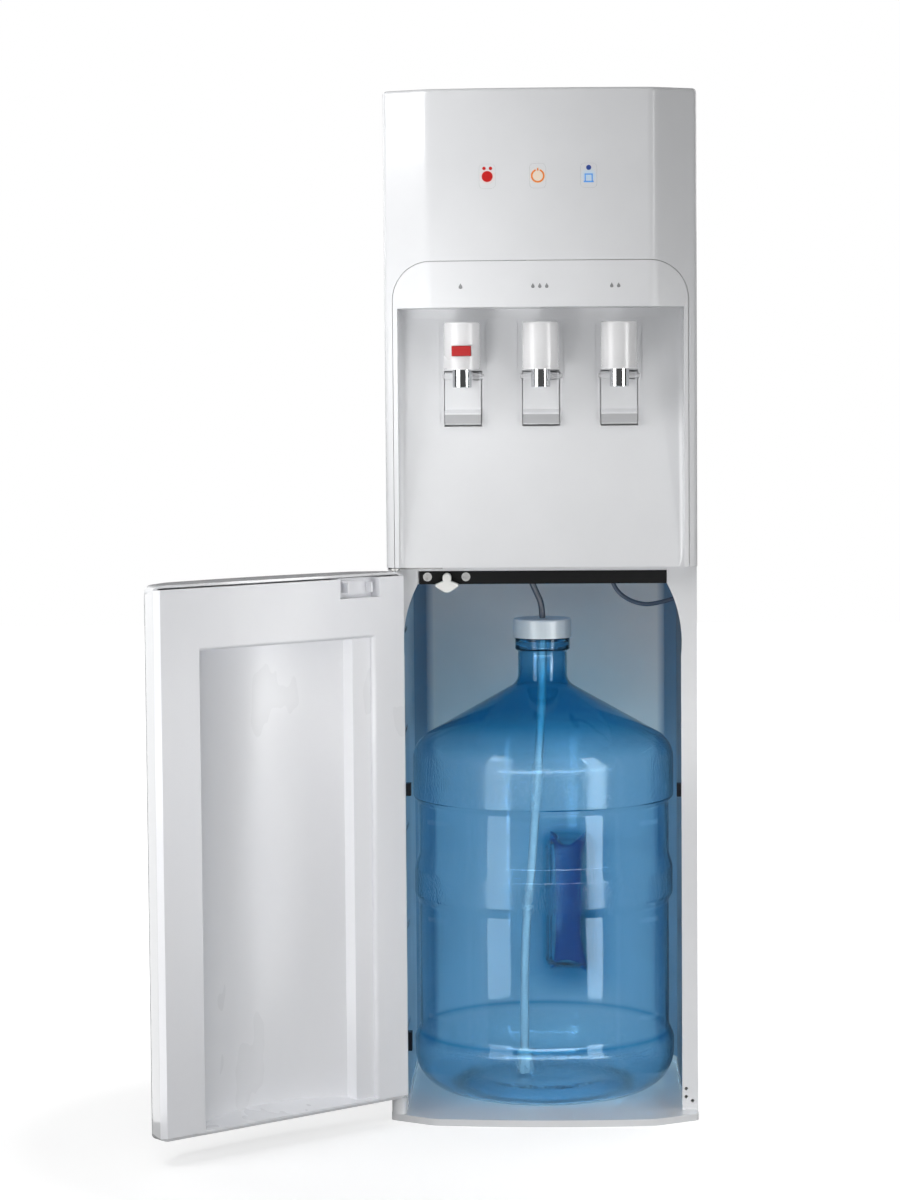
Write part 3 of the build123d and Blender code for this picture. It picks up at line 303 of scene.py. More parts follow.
def bayBack():
    # pale grey, with painted shade on the slanted corners, darker and bluer there
    mat, tree, shader, where = bare("bayBack")
    cloud = noise(tree, where, 14, 3)
    off = distance(tree, where, (0, 0, 0), (1, 0, 0))
    corner = spread(tree, off, 0.0, 1.0, bayCornerShade["from"], bayCornerShade["to"])
    plain = tint(tree, cloud, linear(238, 233, 228), linear(233, 228, 223))
    tree.links.new(blended(tree, corner, plain, bayCornerShade["colour"]), shader.inputs["Base Color"])
    tree.links.new(spread(tree, cloud, 0.42, 0.5), shader.inputs["Roughness"])
    relief(tree, shader, noise(tree, where, 420, 2), 0.00003)
    return mat


finishes["bayBack"] = bayBack()
paint("bay_back_wall", finishes["bayBack"])


# middle of each lit sign from side to side, their height and that of the dots over them
signPlace = {"hot": -0.051, "on": -0.0014, "cold": 0.0485, "height": 0.946, "dots": 0.9537}
# the light round each sign, and the distances over which it fades
halo = {
    "colours": {"hot": linear(250, 214, 208), "on": linear(250, 228, 204),
                "cold": linear(200, 226, 248)},
    "most": 0.85, "inner": 0.003, "outer": 0.0085,
}


def lensWhite():
    # the cover's white with a soft coloured glow round each lit sign
    mat, tree, shader, where = bare("lensWhite")
    cloud = noise(tree, where, 14, 3)
    colour = tint(tree, cloud, white["colour"], white["shade"])
    for name, light in halo["colours"].items():
        off = distance(tree, where, (signPlace[name], 0, signPlace["height"]), (1, 0, 1))
        near = spread(tree, off, halo["most"], 0.0, halo["inner"], halo["outer"])
        colour = blended(tree, near, colour, light)
    tree.links.new(colour, shader.inputs["Base Color"])
    tree.links.new(spread(tree, cloud, *gloss["rough"]), shader.inputs["Roughness"])
    shader.inputs["Coat Weight"].default_value = gloss["coat"]
    shader.inputs["Coat Roughness"].default_value = gloss["coatRoughness"]
    return mat


finishes["lensWhite"] = lensWhite()
paint("indicator_lenses", finishes["lensWhite"])


def lit(name, colour, strength):
    # a glowing printed sign, a little uneven
    mat, tree, shader, where = bare(name)
    cloud = noise(tree, where, 400, 2)
    dim = tuple(v * 0.85 for v in colour[:3]) + (1,)
    uneven = tint(tree, cloud, colour, dim)
    tree.links.new(uneven, shader.inputs["Base Color"])
    tree.links.new(uneven, shader.inputs["Emission Color"])
    shader.inputs["Emission Strength"].default_value = strength
    shader.inputs["Roughness"].default_value = 0.4
    return mat


finishes["signRed"] = lit("signRed", linear(190, 14, 12), 0.2)
finishes["signOrange"] = lit("signOrange", linear(226, 128, 44), 0.25)
finishes["signBlue"] = lit("signBlue", linear(80, 150, 224), 0.3)
finishes["signNavy"] = lit("signNavy", linear(38, 66, 140), 0.25)
finishes["markGrey"] = plastic("markGrey", linear(128, 129, 131), linear(140, 141, 143), (0.4, 0.5))


def attribute(tree, name):
    # a value stored at the mesh's points
    node = tree.nodes.new("ShaderNodeAttribute")
    node.attribute_name = name
    return node.outputs["Fac"]


def passLamps(tree, shader, colour):
    # lets lamp light through, tinted, so that it reaches what is behind the clear wall
    clear = tree.nodes.new("ShaderNodeBsdfTransparent")
    clear.inputs["Color"].default_value = colour
    path = tree.nodes.new("ShaderNodeLightPath")
    mix = tree.nodes.new("ShaderNodeMixShader")
    end = next(n for n in tree.nodes if n.type == "OUTPUT_MATERIAL")
    tree.links.new(path.outputs["Is Shadow Ray"], mix.inputs[0])
    tree.links.new(shader.outputs[0], mix.inputs[1])
    tree.links.new(clear.outputs[0], mix.inputs[2])
    tree.links.new(mix.outputs[0], end.inputs["Surface"])


blue = {  # the bottle's polycarbonate
    "thin": (0.57, 0.79, 0.94, 1), "thick": (0.04, 0.43, 0.7, 1), "dent": (0.96, 1.0, 1.0, 1),
    "reflection": (0.72, 0.86, 0.94, 1), "lampLight": (0.93, 0.98, 1.0, 1),
    "clear": 0.985, "ior": 1.32, "smooth": (0.02, 0.06), "frost": 0.09, "ripple": 0.0005,
    "cells": 430, "cellSoftness": 0.35, "cellDepth": 0.00016, "dentEdge": (0.12, 0.4),
    "dentMost": 0.9,
}


def bottleBlue():
    # clear blue: deeper where the mesh says so, finely hammered and frosted in its three bands
    mat, tree, shader, where = bare("bottleBlue")
    shader.inputs["Transmission Weight"].default_value = blue["clear"]
    shader.inputs["IOR"].default_value = blue["ior"]
    shader.inputs["Specular Tint"].default_value = blue["reflection"]
    streak = noise(tree, where, 26, 2, (1, 1, 0.12))
    hammer = attribute(tree, "hammer")
    frosted = tree.nodes.new("ShaderNodeMath")
    frosted.operation = "MULTIPLY_ADD"
    frosted.inputs[1].default_value = blue["frost"]
    tree.links.new(hammer, frosted.inputs[0])
    tree.links.new(spread(tree, streak, *blue["smooth"]), frosted.inputs[2])
    tree.links.new(frosted.outputs[0], shader.inputs["Roughness"])
    rippled = relief(tree, shader, streak, blue["ripple"])
    cells = tree.nodes.new("ShaderNodeTexVoronoi")
    cells.feature = "SMOOTH_F1"
    cells.inputs["Scale"].default_value = blue["cells"]
    cells.inputs["Smoothness"].default_value = blue["cellSoftness"]
    tree.links.new(where, cells.inputs["Vector"])
    fromMiddle = cells.outputs["Distance"]
    relief(tree, shader, product(tree, fromMiddle, hammer), blue["cellDepth"], rippled)
    # each dent's middle is paler: partly thinner plastic, partly a painted highlight for the glints
    # in the hammered bands
    paleDentsAndGlints = product(tree, spread(tree, fromMiddle, blue["dentMost"], 0.0, *blue["dentEdge"]), hammer)
    body = blended(tree, attribute(tree, "deep"), blue["thin"], blue["thick"])
    tree.links.new(blended(tree, paleDentsAndGlints, body, blue["dent"]), shader.inputs["Base Color"])
    passLamps(tree, shader, blue["lampLight"])
    return mat


finishes["bottleBlue"] = bottleBlue()


# the solid bar of the handle is deep blue and hardly clear, the tubes are milky and faintly blue
tinted = {
    "gripBlue": dict(colours=((0.0001, 0.19, 0.48, 1), (0.0002, 0.22, 0.54, 1)), cloud=50,
                     clear=0.1, specular=0.25, rough=(0.06, 0.14)),
    "clearHose": dict(colours=(linear(188, 204, 212), linear(178, 195, 204)), cloud=60,
                      clear=0.35, specular=0.5, rough=(0.15, 0.28)),
}


def tintedPlastic(name, facts):
    # coloured plastic that lets some light through
    mat, tree, shader, where = bare(name)
    cloud = noise(tree, where, facts["cloud"], 2)
    tree.links.new(tint(tree, cloud, *facts["colours"]), shader.inputs["Base Color"])
    shader.inputs["Transmission Weight"].default_value = facts["clear"]
    shader.inputs["Specular IOR Level"].default_value = facts["specular"]
    tree.links.new(spread(tree, cloud, *facts["rough"]), shader.inputs["Roughness"])
    return mat


for name, facts in tinted.items():
    finishes[name] = tintedPlastic(name, facts)
paint("dip_tube_foot", finishes["clearHose"])


def newPiece(name, verts, faces, finishName, body, smooth=True):
    # a mesh object in the frame's coordinates, riding on its body
    mesh = bpy.data.meshes.new(name)
    mesh.from_pydata(verts.tolist(), [], [list(face) for face in faces])
    mesh.validate()
    mesh.polygons.foreach_set("use_smooth", np.full(len(mesh.polygons), smooth))
    mesh.update()
    piece = bpy.data.objects.new(name, mesh)
    scene.collection.objects.link(piece)
    mesh.materials.append(finishes[finishName])
    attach(piece, body)
    return piece


def gridFaces(rows, columns, wrap=True):
    # quads of a rows x columns grid; wrap joins the last column to the first
    r = np.arange(rows - 1)[:, None]
    c = np.arange(columns if wrap else columns - 1)[None, :]
    d = (c + 1) % columns
    quads = np.stack([r * columns + c, r * columns + d, (r + 1) * columns + d,
                      (r + 1) * columns + c], axis=-1)
    return quads.reshape(-1, 4)


# the bowed front is a circle's arc seen from above
bow = {"front": -0.165, "radius": 0.8995, "proud": 0.00015}


def onFront(x, z):
    # y follows the circle of the bow from x, moved a little out of the surface
    y = bow["front"] + bow["radius"] - np.sqrt(bow["radius"] ** 2 - x ** 2) - bow["proud"]
    return np.stack([x, y, z], -1)


def ringShape(cx, cz, outer, inner, start=0.0, end=2 * math.pi, count=40):
    # two circles or arcs round one middle, joined by quads; angle 0 points up
    t = np.linspace(start, end, count)
    radii = np.array([inner, outer])[:, None]
    x = cx + radii * np.sin(t)
    z = cz + radii * np.cos(t)
    return onFront(x.reshape(-1), z.reshape(-1)), gridFaces(2, count, wrap=False)


def boxShape(cx, cz, wide, tall):
    # four corners half the width and height away from the middle
    x = cx + np.array([-wide, wide, wide, -wide]) / 2
    z = cz + np.array([-tall, -tall, tall, tall]) / 2
    return onFront(x, z), np.array([(0, 1, 2, 3)])


def dropShape(cx, cz, tall, count=20):
    # a water drop: its width is the angle's sine times a power of the half angle's sine
    plump, point = 0.496, 1.6
    t = np.linspace(0, 2 * np.pi, count, endpoint=False)
    x = cx + plump * tall * np.sin(t) * np.abs(np.sin(t / 2)) ** point
    z = cz + tall / 2 * np.cos(t)
    verts = np.concatenate([onFront(x, z), onFront(np.array([cx]), np.array([cz - tall / 6]))])
    k = np.arange(count)
    return verts, np.stack([k, (k + 1) % count, np.full(count, count)], -1)


def joined(shapes):
    # several shapes as one list of corners and faces
    verts, faces, start = [], [], 0
    for corners, polygons in shapes:
        verts.append(corners)
        faces.extend((np.asarray(polygons) + start).tolist())
        start += len(corners)
    return np.concatenate(verts), faces


# the drops over the taps: their height, the size of one and the gap from one to the next
tapMark = {"height": 0.839, "single": 0.0056, "several": 0.005, "gap": 0.0068,
           "hot": -0.078, "room": 0, "cold": 0.074}


def drops(x, count):
    # a row of drops, evenly spaced about its middle
    tall = tapMark["single"] if count == 1 else tapMark["several"]
    places = x + (np.arange(count) - (count - 1) / 2) * tapMark["gap"]
    return [dropShape(place, tapMark["height"], tall) for place in places]


hotX, onX, coldX = signPlace["hot"], signPlace["on"], signPlace["cold"]
signHeight, dots = signPlace["height"], signPlace["dots"]

signs = {
    "signHot": ("signRed", [ringShape(hotX, 0.9458, 0.0054, 0.0),
                            ringShape(hotX - 0.0031, dots, 0.0017, 0.0, count=16),
                            ringShape(hotX + 0.0033, dots, 0.0017, 0.0, count=16)]),
    "signOn": ("signOrange", [ringShape(onX, signHeight, 0.0067, 0.0051, 0.35, 2 * math.pi - 0.35),
                              boxShape(onX, 0.9523, 0.0013, 0.0026)]),
    "signColdCup": ("signBlue", [boxShape(coldX - 0.0034, 0.9436, 0.0012, 0.0066),
                                 boxShape(coldX + 0.0034, 0.9436, 0.0012, 0.0066),
                                 boxShape(coldX, 0.9472, 0.0082, 0.0012),
                                 boxShape(coldX, 0.94, 0.0098, 0.0014)]),
    "signColdDrop": ("signNavy", [ringShape(coldX, dots, 0.0025, 0.0, count=20)]),
    "markHot": ("markGrey", drops(tapMark["hot"], 1)),
    "markRoom": ("markGrey", drops(tapMark["room"], 3)),
    "markCold": ("markGrey", drops(tapMark["cold"], 2)),
}
for name, (finishName, shapes) in signs.items():
    verts, faces = joined(shapes)
    newPiece(name, verts, np.array(faces, dtype=object), finishName, "cabinet",
             smooth=False)
print("signs and tap marks made")


# the condenser's upright wires, in m
wires = {"count": 25, "left": -0.112, "right": 0.128, "low": 0.104, "high": 0.597,
         "radius": 0.00075, "depths": (0.16775, 0.17425), "sides": 6}


def makeWires():
    # each wire is a circle carried straight up, in front of and behind the coil in turn
    turn = np.arange(wires["sides"]) * 2 * np.pi / wires["sides"]
    verts, faces = [], []
    for k, x in enumerate(np.linspace(wires["left"], wires["right"], wires["count"])):
        y = wires["depths"][k % 2]
        ring = np.stack([x + wires["radius"] * np.cos(turn), y + wires["radius"] * np.sin(turn)], -1)
        for z in (wires["low"], wires["high"]):
            verts.append(np.column_stack([ring, np.full(len(ring), z)]))
        start = 2 * wires["sides"] * k
        faces.extend((gridFaces(2, wires["sides"]) + start).tolist())
        faces.append([start + n for n in range(wires["sides"])][::-1])
        faces.append([start + wires["sides"] + n for n in range(wires["sides"])])
    newPiece("condenserWires", np.concatenate(verts), np.array(faces, dtype=object),
             "potBlack", "cabinet")


makeWires()
print("condenser wires made")


# the bottle, in m, and its outline's corners in mm
bottle = {
    "axis": (-0.0015, 0.016), "handleTurn": math.radians(12), "wall": 0.002,
    "handleLow": 0.104, "handleHigh": 0.254, "pocketFloor": 0.096, "pocketHalf": 0.023,
    "pocketBlend": 0.014, "bands": ((0.012, 0.062), (0.206, 0.24), (0.31, 0.362)),
    "bandFade": 0.004, "innerTop": 0.4925, "around": 256, "slot": "bottle_blue",
    "outerStep": 3.4, "innerStep": 5,  # mm between the profile's points
    "pocketFacing": 0.5, "leastFacing": 0.2,  # cosines of the turn away from the handle
    # radius and height of each corner in mm, and its rounding
    "corners": ((0, 12.5, 0), (66, 12.5, 8), (84, 3.5, 5), (136, 3.5, 40), (136, 58, 6),
                (131, 70, 6), (131, 202, 6), (135, 210, 6), (135, 238, 8), (131, 252, 8),
                (131, 306, 3), (136, 312, 3), (136, 368, 28), (25.6, 430.6, 14),
                (25.6, 463, 1.5), (28.6, 465, 1.2), (28.6, 477, 1.2), (26, 478.5, 0.2),
                (26, 494, 0)),
}


def roundedLine(corners, step):
    # a polyline whose corners are replaced by arcs, resampled every step
    points = np.array([c[:2] for c in corners], float)
    radii = [c[2] for c in corners]
    path = [points[0]]
    for k in range(1, len(points) - 1):
        back = points[k - 1] - points[k]
        on = points[k + 1] - points[k]
        back, on = back / np.linalg.norm(back), on / np.linalg.norm(on)
        half = math.acos(max(-1, min(1, float(back @ on)))) / 2
        if radii[k] <= 0:
            path.append(points[k])
            continue
        reach = radii[k] / math.tan(half)
        centre = points[k] + (back + on) / np.linalg.norm(back + on) * radii[k] / math.sin(half)
        first, last = points[k] + back * reach, points[k] + on * reach
        a0 = math.atan2(*(first - centre)[::-1])
        a1 = math.atan2(*(last - centre)[::-1])
        turn = (a1 - a0 + math.pi) % (2 * math.pi) - math.pi
        count = max(3, int(abs(turn) * radii[k] / step) + 2)
        angles = a0 + turn * np.linspace(0, 1, count)
        path.extend(centre + radii[k] * np.stack([np.cos(angles), np.sin(angles)], -1))
    path.append(points[-1])
    path = np.array(path)
    dense = [path[:1]]
    for a, b in zip(path, path[1:]):  # long straight runs get points of their own
        count = max(1, int(np.linalg.norm(b - a) / step))
        dense.append(a + (b - a) * (np.arange(1, count + 1) / count)[:, None])
    return np.concatenate(dense)


def inset(line, amount):
    # the line moved inwards along its normals
    slope = np.gradient(line, axis=0)
    slope /= np.linalg.norm(slope, axis=1, keepdims=True) + 1e-9
    moved = line + amount * np.stack([-slope[:, 1], slope[:, 0]], -1)
    moved[:, 0] = np.clip(moved[:, 0], 0, None)
    return moved


# where the blue is deeper: a pair is the height at which a zone starts or ends and the length
# over which it fades, but the step's is its middle and half width
deeper = {
    "shoulder": (0.362, 0.03), "neck": (0.43, 0.02), "neckLess": 0.45, "shoulderMost": 0.85,
    "base": (0.06, 0.05), "baseMost": 0.25,
    # the step's thin deeper line is partly thicker plastic, partly painted shade
    "step": (0.0655, 0.0022), "stepMost": 0.9, "rimMost": 0.8,
    # the deeper blue round the handle, behind it, is painted shade
    "handleWidth": 0.04, "handleLow": (0.07, 0.03), "handleHigh": (0.275, 0.03), "handleMost": 0.95,
}


def rising(height, start, length):
    # a straight ramp: 0 below the start, 1 from start + length on
    return np.clip((height - start) / length, 0, 1)


def falling(height, end, length):
    # the ramp the other way: 1 up to end - length, 0 above the end
    return np.clip((end - height) / length, 0, 1)


def hammeredBands(height):
    # 1 inside the bottle's hammered bands, with a ramp at each edge
    inside = np.zeros_like(height)
    for low, high in bottle["bands"]:
        band = rising(height, low, bottle["bandFade"]) * falling(height, high, bottle["bandFade"])
        inside = np.maximum(inside, band)
    return inside


def depthOfBlue(height, across, behind, pressed):
    # ramps for shoulder, neck and base, a bell curve of height at the base ring's step (partly
    # thicker plastic, partly painted shade), the slope of the hollow's rim, and a bell curve of the
    # distance sideways round the handle (painted shade)
    neck = rising(height, *deeper["shoulder"])
    neck = neck * (1 - deeper["neckLess"] * rising(height, *deeper["neck"]))
    base = deeper["baseMost"] * falling(height, *deeper["base"])
    middle, half = deeper["step"]
    step = deeper["stepMost"] * np.exp(-((height - middle) / half) ** 2)
    rim = deeper["rimMost"] * np.clip(4 * pressed * (1 - pressed), 0, 1)
    handleShade = deeper["handleMost"] * np.exp(-(across / deeper["handleWidth"]) ** 2) * behind
    handleShade = handleShade * rising(height, *deeper["handleLow"])
    handleShade = handleShade * falling(height, *deeper["handleHigh"])
    return np.clip(deeper["shoulderMost"] * neck + base + step + rim + handleShade, 0, 1)


def makeBottle():
    # the outline turned round the axis; at the back the radius is drawn in to a flat wall, by a
    # ramp across and up that is smoothed as 3 p squared minus 2 p cubed
    line = roundedLine(bottle["corners"], bottle["outerStep"]) / 1000
    inner = roundedLine(bottle["corners"], bottle["innerStep"])
    inner = inset(inner, bottle["wall"] * 1000) / 1000
    inner = inner[inner[:, 1] < bottle["innerTop"]]
    profile = np.concatenate([line, inner[::-1]])
    shell = np.concatenate([np.ones(len(line)), np.zeros(len(inner))])[:, None]
    count = bottle["around"]
    angle = np.linspace(0, 2 * np.pi, count, endpoint=False)[None, :]
    radius = np.repeat(profile[:, :1], count, 1)
    height = np.repeat(profile[:, 1:], count, 1)
    fromBack = (angle - bottle["handleTurn"] + np.pi) % (2 * np.pi) - np.pi
    grow = bottle["wall"] * (1 - shell)
    facing = np.cos(fromBack)
    hollow = (bottle["pocketFloor"] - grow) / np.maximum(facing, bottle["leastFacing"])
    across = np.abs(radius * np.sin(fromBack))
    blend = bottle["pocketBlend"]
    side = falling(across, bottle["pocketHalf"] + grow + blend / 2, blend)
    low, high = bottle["handleLow"] - grow, bottle["handleHigh"] + grow
    ends = rising(height, low, blend) * falling(height, high, blend)
    pressed = side * ends * (facing > bottle["pocketFacing"]) * (radius > hollow)
    pressed = pressed * pressed * (3 - 2 * pressed)
    radius = radius + (hollow - radius) * pressed
    hammered = hammeredBands(height) * shell
    deep = depthOfBlue(height, across, facing > 0, pressed)
    x = bottle["axis"][0] + radius * np.sin(angle)
    y = bottle["axis"][1] + radius * np.cos(angle)
    verts = np.stack([x, y, height], -1).reshape(-1, 3)
    faces = gridFaces(len(profile), count)[:, ::-1]
    piece = newPiece("bottleShell", verts, faces, "bottleBlue", "cabinet")
    mesh = piece.data
    for name, values in (("hammer", hammered), ("deep", deep)):
        layer = mesh.attributes.new(name, "FLOAT", "POINT")
        layer.data.foreach_set("value", values.reshape(-1).astype(np.float32))
    bm = bmesh.new()
    bm.from_mesh(mesh)
    bmesh.ops.remove_doubles(bm, verts=bm.verts, dist=1e-6)
    bmesh.ops.recalc_face_normals(bm, faces=bm.faces)
    bm.to_mesh(mesh)
    bm.free()
    return piece


# sizes in m; the flare's length is a share of the handle's
handle = {"radial": 0.121, "halfWidth": 0.014, "halfDepth": 0.008, "squareness": 0.62,
          "notch": 0.013, "sunk": 0.001, "flare": 0.4, "flareLength": 1 / 7,
          "around": 40, "rows": 49}


def makeHandleBar():
    # a superellipse carried straight up; bell curves widen it towards both ends, and the ends
    # are arched by one minus the square of the place across
    turn = bottle["handleTurn"]
    t = np.linspace(0, 2 * np.pi, handle["around"], endpoint=False)
    up = np.linspace(0, 1, handle["rows"])[:, None]
    reach = handle["flareLength"]
    flare = 1 + handle["flare"] * (np.exp(-(up / reach) ** 2) + np.exp(-((1 - up) / reach) ** 2))
    power = handle["squareness"]  # rounded rectangle as a superellipse
    across = (np.sign(np.cos(t)) * np.abs(np.cos(t)) ** power)[None, :]
    thick = (handle["halfDepth"] * np.sign(np.sin(t)) * np.abs(np.sin(t)) ** power)[None, :]
    notch = handle["notch"] * (1 - across ** 2)  # the ends are hollowed between their two feet
    low = bottle["handleLow"] - handle["sunk"] + notch
    high = bottle["handleHigh"] + handle["sunk"] - notch
    a = handle["halfWidth"] * across * flare
    b = handle["radial"] + thick + 0 * up
    x = bottle["axis"][0] + a * np.cos(turn) + b * np.sin(turn)
    y = bottle["axis"][1] - a * np.sin(turn) + b * np.cos(turn)
    verts = np.stack([x, y, low + up * (high - low)], -1).reshape(-1, 3)
    faces = gridFaces(len(up), len(t))
    caps = [list(range(len(t)))[::-1], list(range(len(verts) - len(t), len(verts)))]
    piece = newPiece("bottleHandle", verts, faces, "gripBlue", "cabinet")
    bm = bmesh.new()
    bm.from_mesh(piece.data)
    bm.verts.ensure_lookup_table()
    for ring in caps:
        bm.faces.new([bm.verts[k] for k in ring])
    bmesh.ops.triangulate(bm, faces=bm.faces[-2:])
    bmesh.ops.recalc_face_normals(bm, faces=bm.faces)
    bm.to_mesh(piece.data)
    bm.free()


bottleShell = makeBottle()
makeHandleBar()
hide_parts("bottle")
print("bottle made:", len(bottleShell.data.polygons), "faces")


tubes = {
    "dipTube": dict(node="dip_tube", diameter=0.009, length=0.4628, finish="clearHose",
                    slot="hose_clear", far="fitting", stiff="medium", lay="hanging",
                    pieces=["dip_tube_foot"],
                    route=[(-1.5, 16, 492), (-1.5, 16, 425), (-6, 15.5, 350),
                           (-10.5, 14.5, 285), (-14, 14.2, 232), (-20.5, 13.5, 175),
                           (-22.5, 13, 105), (-22.5, 13, 30)]),
    "suctionHose": dict(node="suction_hose", diameter=0.0064, length=0.2404, finish="hoseGrey",
                        slot="hose_clear", far="object", stiff="medium", lay="taut", pieces=[],
                        route=[(-1.5, 16, 497), (-1.5, 16, 511), (-8.5, 14.5, 526),
                               (-14.5, 12.8, 541), (-17.5, 11, 562), (-24, 7, 590),
                               (-40, -3, 616), (-66, -19, 632), (-94, -36, 630),
                               (-110, -45, 612), (-110, -45, 590)]),
    "sensorLead": dict(node="sensor_lead", diameter=0.0045, length=0.1148, finish="leadGrey",
                       slot="lead_grey", far="object", stiff="medium", lay="hanging", pieces=[],
                       route=[(68, 26, 562), (69, 26, 539.5), (78, 26, 521.5), (96, 26, 511),
                              (117, 26, 509.5), (147, 26, 519.5)]),
    "pumpHose": dict(node="pump_hose", diameter=0.008, length=0.5056, finish="clearHose",
                     slot="hose_clear", far="object", stiff="medium", lay="taut", pieces=[],
                     route=[(-95, -45, 592), (-95, -45, 630), (-68, -38, 690),
                            (-42, -28, 750), (-36, -20, 830), (-34, -8, 905), (-34, 0, 965.3),
                            (-12.3, 8, 987), (18.3, 18, 987), (40, 25, 965.3), (40, 25, 936)]),
}


def makeTube(name, facts):
    # a circle carried along the smooth curve that follows the route's points, which are in mm
    curve = bpy.data.curves.new(name, "CURVE")
    curve.dimensions = "3D"
    line = curve.splines.new("NURBS")
    route = facts["route"]
    points = np.column_stack([np.array(route) / 1000, np.ones(len(route))])
    line.points.add(len(route) - 1)
    line.points.foreach_set("co", points.reshape(-1))
    line.order_u = 3
    line.use_endpoint_u = True
    line.resolution_u = 12
    curve.bevel_depth = facts["diameter"] / 2
    curve.bevel_resolution = 5
    curve.use_fill_caps = True
    piece = bpy.data.objects.new(name, curve)
    scene.collection.objects.link(piece)
    curve.materials.append(finishes[facts["finish"]])
    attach(piece, "cabinet")
    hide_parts(facts["node"])


for name, facts in tubes.items():
    makeTube(name, facts)
print("tubes made")


camera = {  # solved from the photo: place in m, turns in radians, focal length in pixels
    "place": (0.03666, -3.43070, 0.77262), "yaw": -0.03897, "pitch": -0.07419,
    "roll": -0.00791, "focal": 3310.66, "photoTall": 1200, "sensor": 36,
}


def makeCamera():
    # the photographer's camera, looking along +y before it is turned
    yaw, pitch, roll = camera["yaw"], camera["pitch"], camera["roll"]
    forward = Vector((math.sin(yaw) * math.cos(pitch), math.cos(yaw) * math.cos(pitch),
                      math.sin(pitch)))
    right = Vector((math.cos(yaw), -math.sin(yaw), 0))
    up = right.cross(forward)
    turnedRight = right * math.cos(roll) + up * math.sin(roll)
    turnedUp = up * math.cos(roll) - right * math.sin(roll)
    data = bpy.data.cameras.new("photoCamera")
    data.lens = camera["focal"] / camera["photoTall"] * camera["sensor"]
    data.sensor_width = camera["sensor"]
    data.sensor_fit = "AUTO"
    data.clip_end = 50
    view = bpy.data.objects.new("photoCamera", data)
    scene.collection.objects.link(view)
    view.matrix_world = Matrix((
        (turnedRight.x, turnedUp.x, -forward.x, camera["place"][0]),
        (turnedRight.y, turnedUp.y, -forward.y, camera["place"][1]),
        (turnedRight.z, turnedUp.z, -forward.z, camera["place"][2]),
        (0, 0, 0, 1)))
    scene.camera = view


makeCamera()

# place and aim in m, size in m, power in W, spread in degrees
lamps = {
    "keyNear": dict(place=(-0.76, -0.56, 1.25), aim=(-0.02, -0.1, 0.95), size=(0.5, 0.5),
                    power=5.2),
    "nicheFill": dict(place=(-0.25, -0.6, 0.62), aim=(-0.14, -0.11, 0.83), size=(0.12, 0.12),
                      power=0.075, spread=56, only="diffuse"),
    "nicheLow": dict(place=(0.5, -0.9, 0.6), aim=(-0.1, -0.1, 0.68), size=(0.2, 0.2),
                     power=0.055, spread=38, only="diffuse"),
    "sillSoft": dict(place=(0.25, -0.7, 0.35), aim=(0.06, -0.12, 0), size=(0.3, 0.1),
                     power=0.07, spread=50, only="diffuse"),
    "streakLeft": dict(place=(-0.35, -0.405, 0.42), aim=(-0.05, -0.11, 0.42), size=(0.27, 0.77),
                       power=3.6, only="glossy"),
    "streakRight": dict(place=(0.37, -0.385, 0.42), aim=(0.06, -0.11, 0.42), size=(0.13, 0.77),
                        power=2.8, only="glossy"),
    "streakTop": dict(place=(0.3, -0.62, 0.35), aim=(0.3, -0.12, 0.2), size=(1.5, 0.05), power=3.2,
                      only="glossy"),
    "softLeft": dict(place=(-0.6, -1.5, 0.45), aim=(0, 0, 0.3), size=(0.7, 0.9), power=4.5,
                     only="diffuse"),
    "softRight": dict(place=(1.1, -1.1, 0.35), aim=(-0.25, -0.25, 0.22), size=(0.6, 0.7),
                      power=1.15, spread=100, only="diffuse"),
    "edgeStrip": dict(place=(0.72, -0.86, 1.0), aim=(0.13, -0.15, 0.95), size=(0.05, 0.5),
                      power=0.6),
    "frontSoft": dict(place=(0.1, -1.9, 2.0), aim=(0, -0.1, 0), size=(1.2, 1.2), power=1.0,
                      spread=64, only="diffuse"),
    "rearRight": dict(place=(1.9, 1.8, 1.8), aim=(0, 0, 0.5), size=(1.6, 1.8), power=20),
    "rearLeft": dict(place=(-2.1, 1.7, 1.7), aim=(0, 0, 0.5), size=(1.6, 1.8), power=16),
}


def makeLamp(name, facts):
    # a soft box, never seen itself; some act on matt surfaces only, some in reflections only
    data = bpy.data.lights.new(name, "AREA")
    data.shape = "RECTANGLE"
    data.size, data.size_y = facts["size"]
    data.energy = facts["power"]
    data.spread = math.radians(facts.get("spread", 180))
    lamp = bpy.data.objects.new(name, data)
    scene.collection.objects.link(lamp)
    place = Vector(facts["place"])
    lamp.rotation_euler = (Vector(facts["aim"]) - place).to_track_quat("-Z", "Y").to_euler()
    lamp.location = place
    lamp.visible_camera = False
    lamp.visible_diffuse = facts.get("only") != "glossy"
    lamp.visible_glossy = facts.get("only") != "diffuse"


for name, facts in lamps.items():
    makeLamp(name, facts)


# the glow for the camera grows from glowNear to glowFar between near and far from the middle
floor = {"half": 6.0, "white": 0.6, "middle": (-0.2, -0.2, 0),
         "glowNear": 0.56, "glowFar": 1.0, "near": 0.3, "far": 0.64}


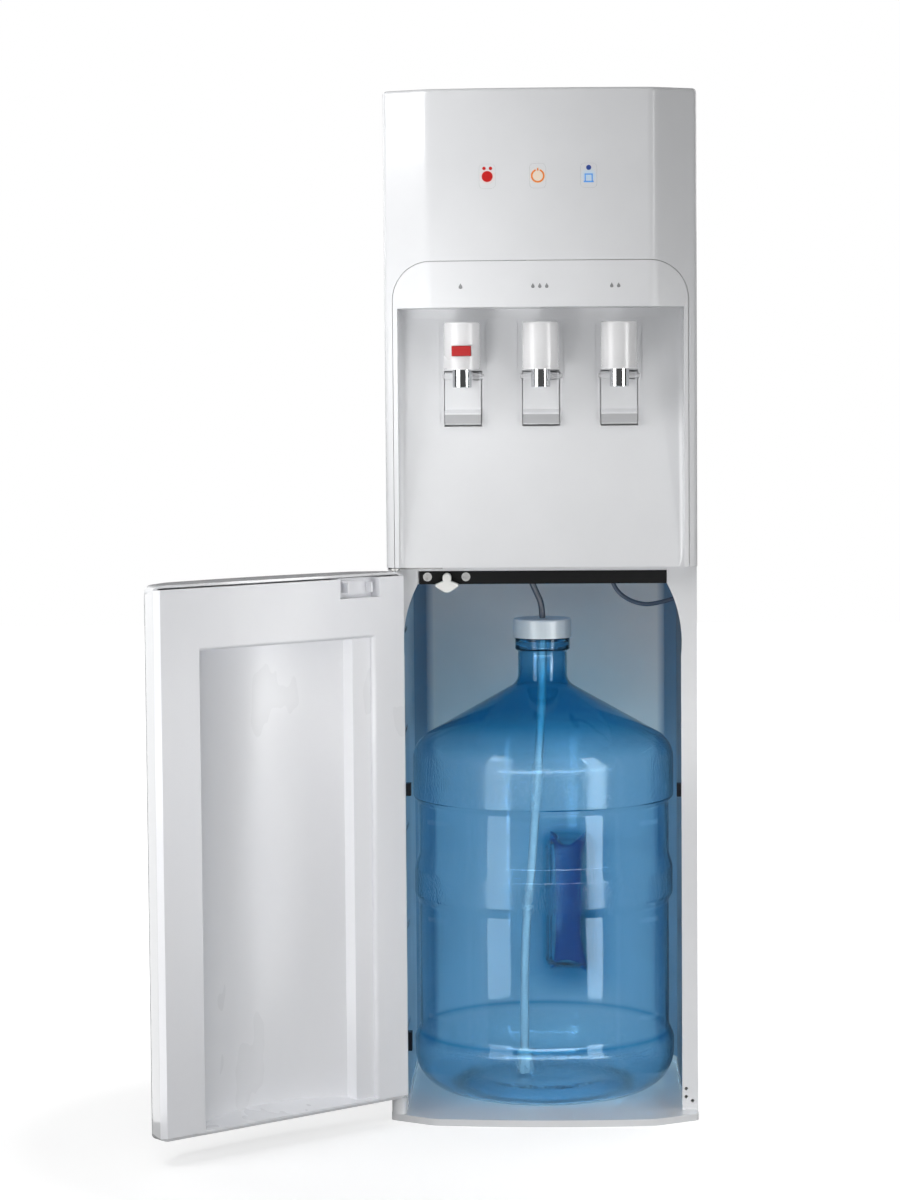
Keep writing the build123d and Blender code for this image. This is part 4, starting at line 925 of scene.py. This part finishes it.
def makeFloor():
    # pale plane that keeps the shadow; for the camera it grows to plain white away from the object
    h = floor["half"]
    mesh = bpy.data.meshes.new("floor")
    mesh.from_pydata([(-h, -h, 0), (h, -h, 0), (h, h, 0), (-h, h, 0)], [], [(0, 1, 2, 3)])
    plane = bpy.data.objects.new("floor", mesh)
    plane.visible_glossy = False
    plane.visible_transmission = False
    scene.collection.objects.link(plane)
    mat, tree, shader, where = bare("floorWhite")
    shader.inputs["Base Color"].default_value = (floor["white"],) * 3 + (1,)
    shader.inputs["Roughness"].default_value = 0.9
    shader.inputs["Specular IOR Level"].default_value = 0.0
    shader.inputs["Emission Color"].default_value = (1, 1, 1, 1)
    away = distance(tree, where, floor["middle"], (1, 1, 0))
    away = spread(tree, away, floor["glowNear"], floor["glowFar"], floor["near"], floor["far"])
    path = tree.nodes.new("ShaderNodeLightPath")
    glow = product(tree, path.outputs["Is Camera Ray"], away)
    tree.links.new(glow, shader.inputs["Emission Strength"])
    mesh.materials.append(mat)


makeFloor()

# brightness of the surroundings by what meets them
studio = {"matt": 0.22, "reflected": 0.1, "throughShare": 0.15, "seen": 1.0}


def makeWorld():
    # even dim light, dimmer in reflections; plain white where the camera looks past the object
    world = bpy.data.worlds.new("studio")
    scene.world = world
    world.use_nodes = True
    tree = world.node_tree
    back = next(n for n in tree.nodes if n.type == "BACKGROUND")
    path = tree.nodes.new("ShaderNodeLightPath")
    share = tree.nodes.new("ShaderNodeMath")  # how much of the seen white a ray gets
    share.operation = "MULTIPLY_ADD"
    tree.links.new(path.outputs["Is Transmission Ray"], share.inputs[0])
    share.inputs[1].default_value = studio["throughShare"]
    tree.links.new(path.outputs["Is Camera Ray"], share.inputs[2])
    dim = spread(tree, path.outputs["Is Glossy Ray"], studio["matt"], studio["reflected"], 0.0, 1.0)
    level = tree.nodes.new("ShaderNodeMapRange")
    level.inputs["To Max"].default_value = studio["seen"]
    tree.links.new(dim, level.inputs["To Min"])
    tree.links.new(share.outputs[0], level.inputs["Value"])
    tree.links.new(level.outputs["Result"], back.inputs["Strength"])
    back.inputs["Color"].default_value = (1, 1, 1, 1)


makeWorld()
scene.view_settings.view_transform = "Standard"
print("camera, lamps and floor ready")
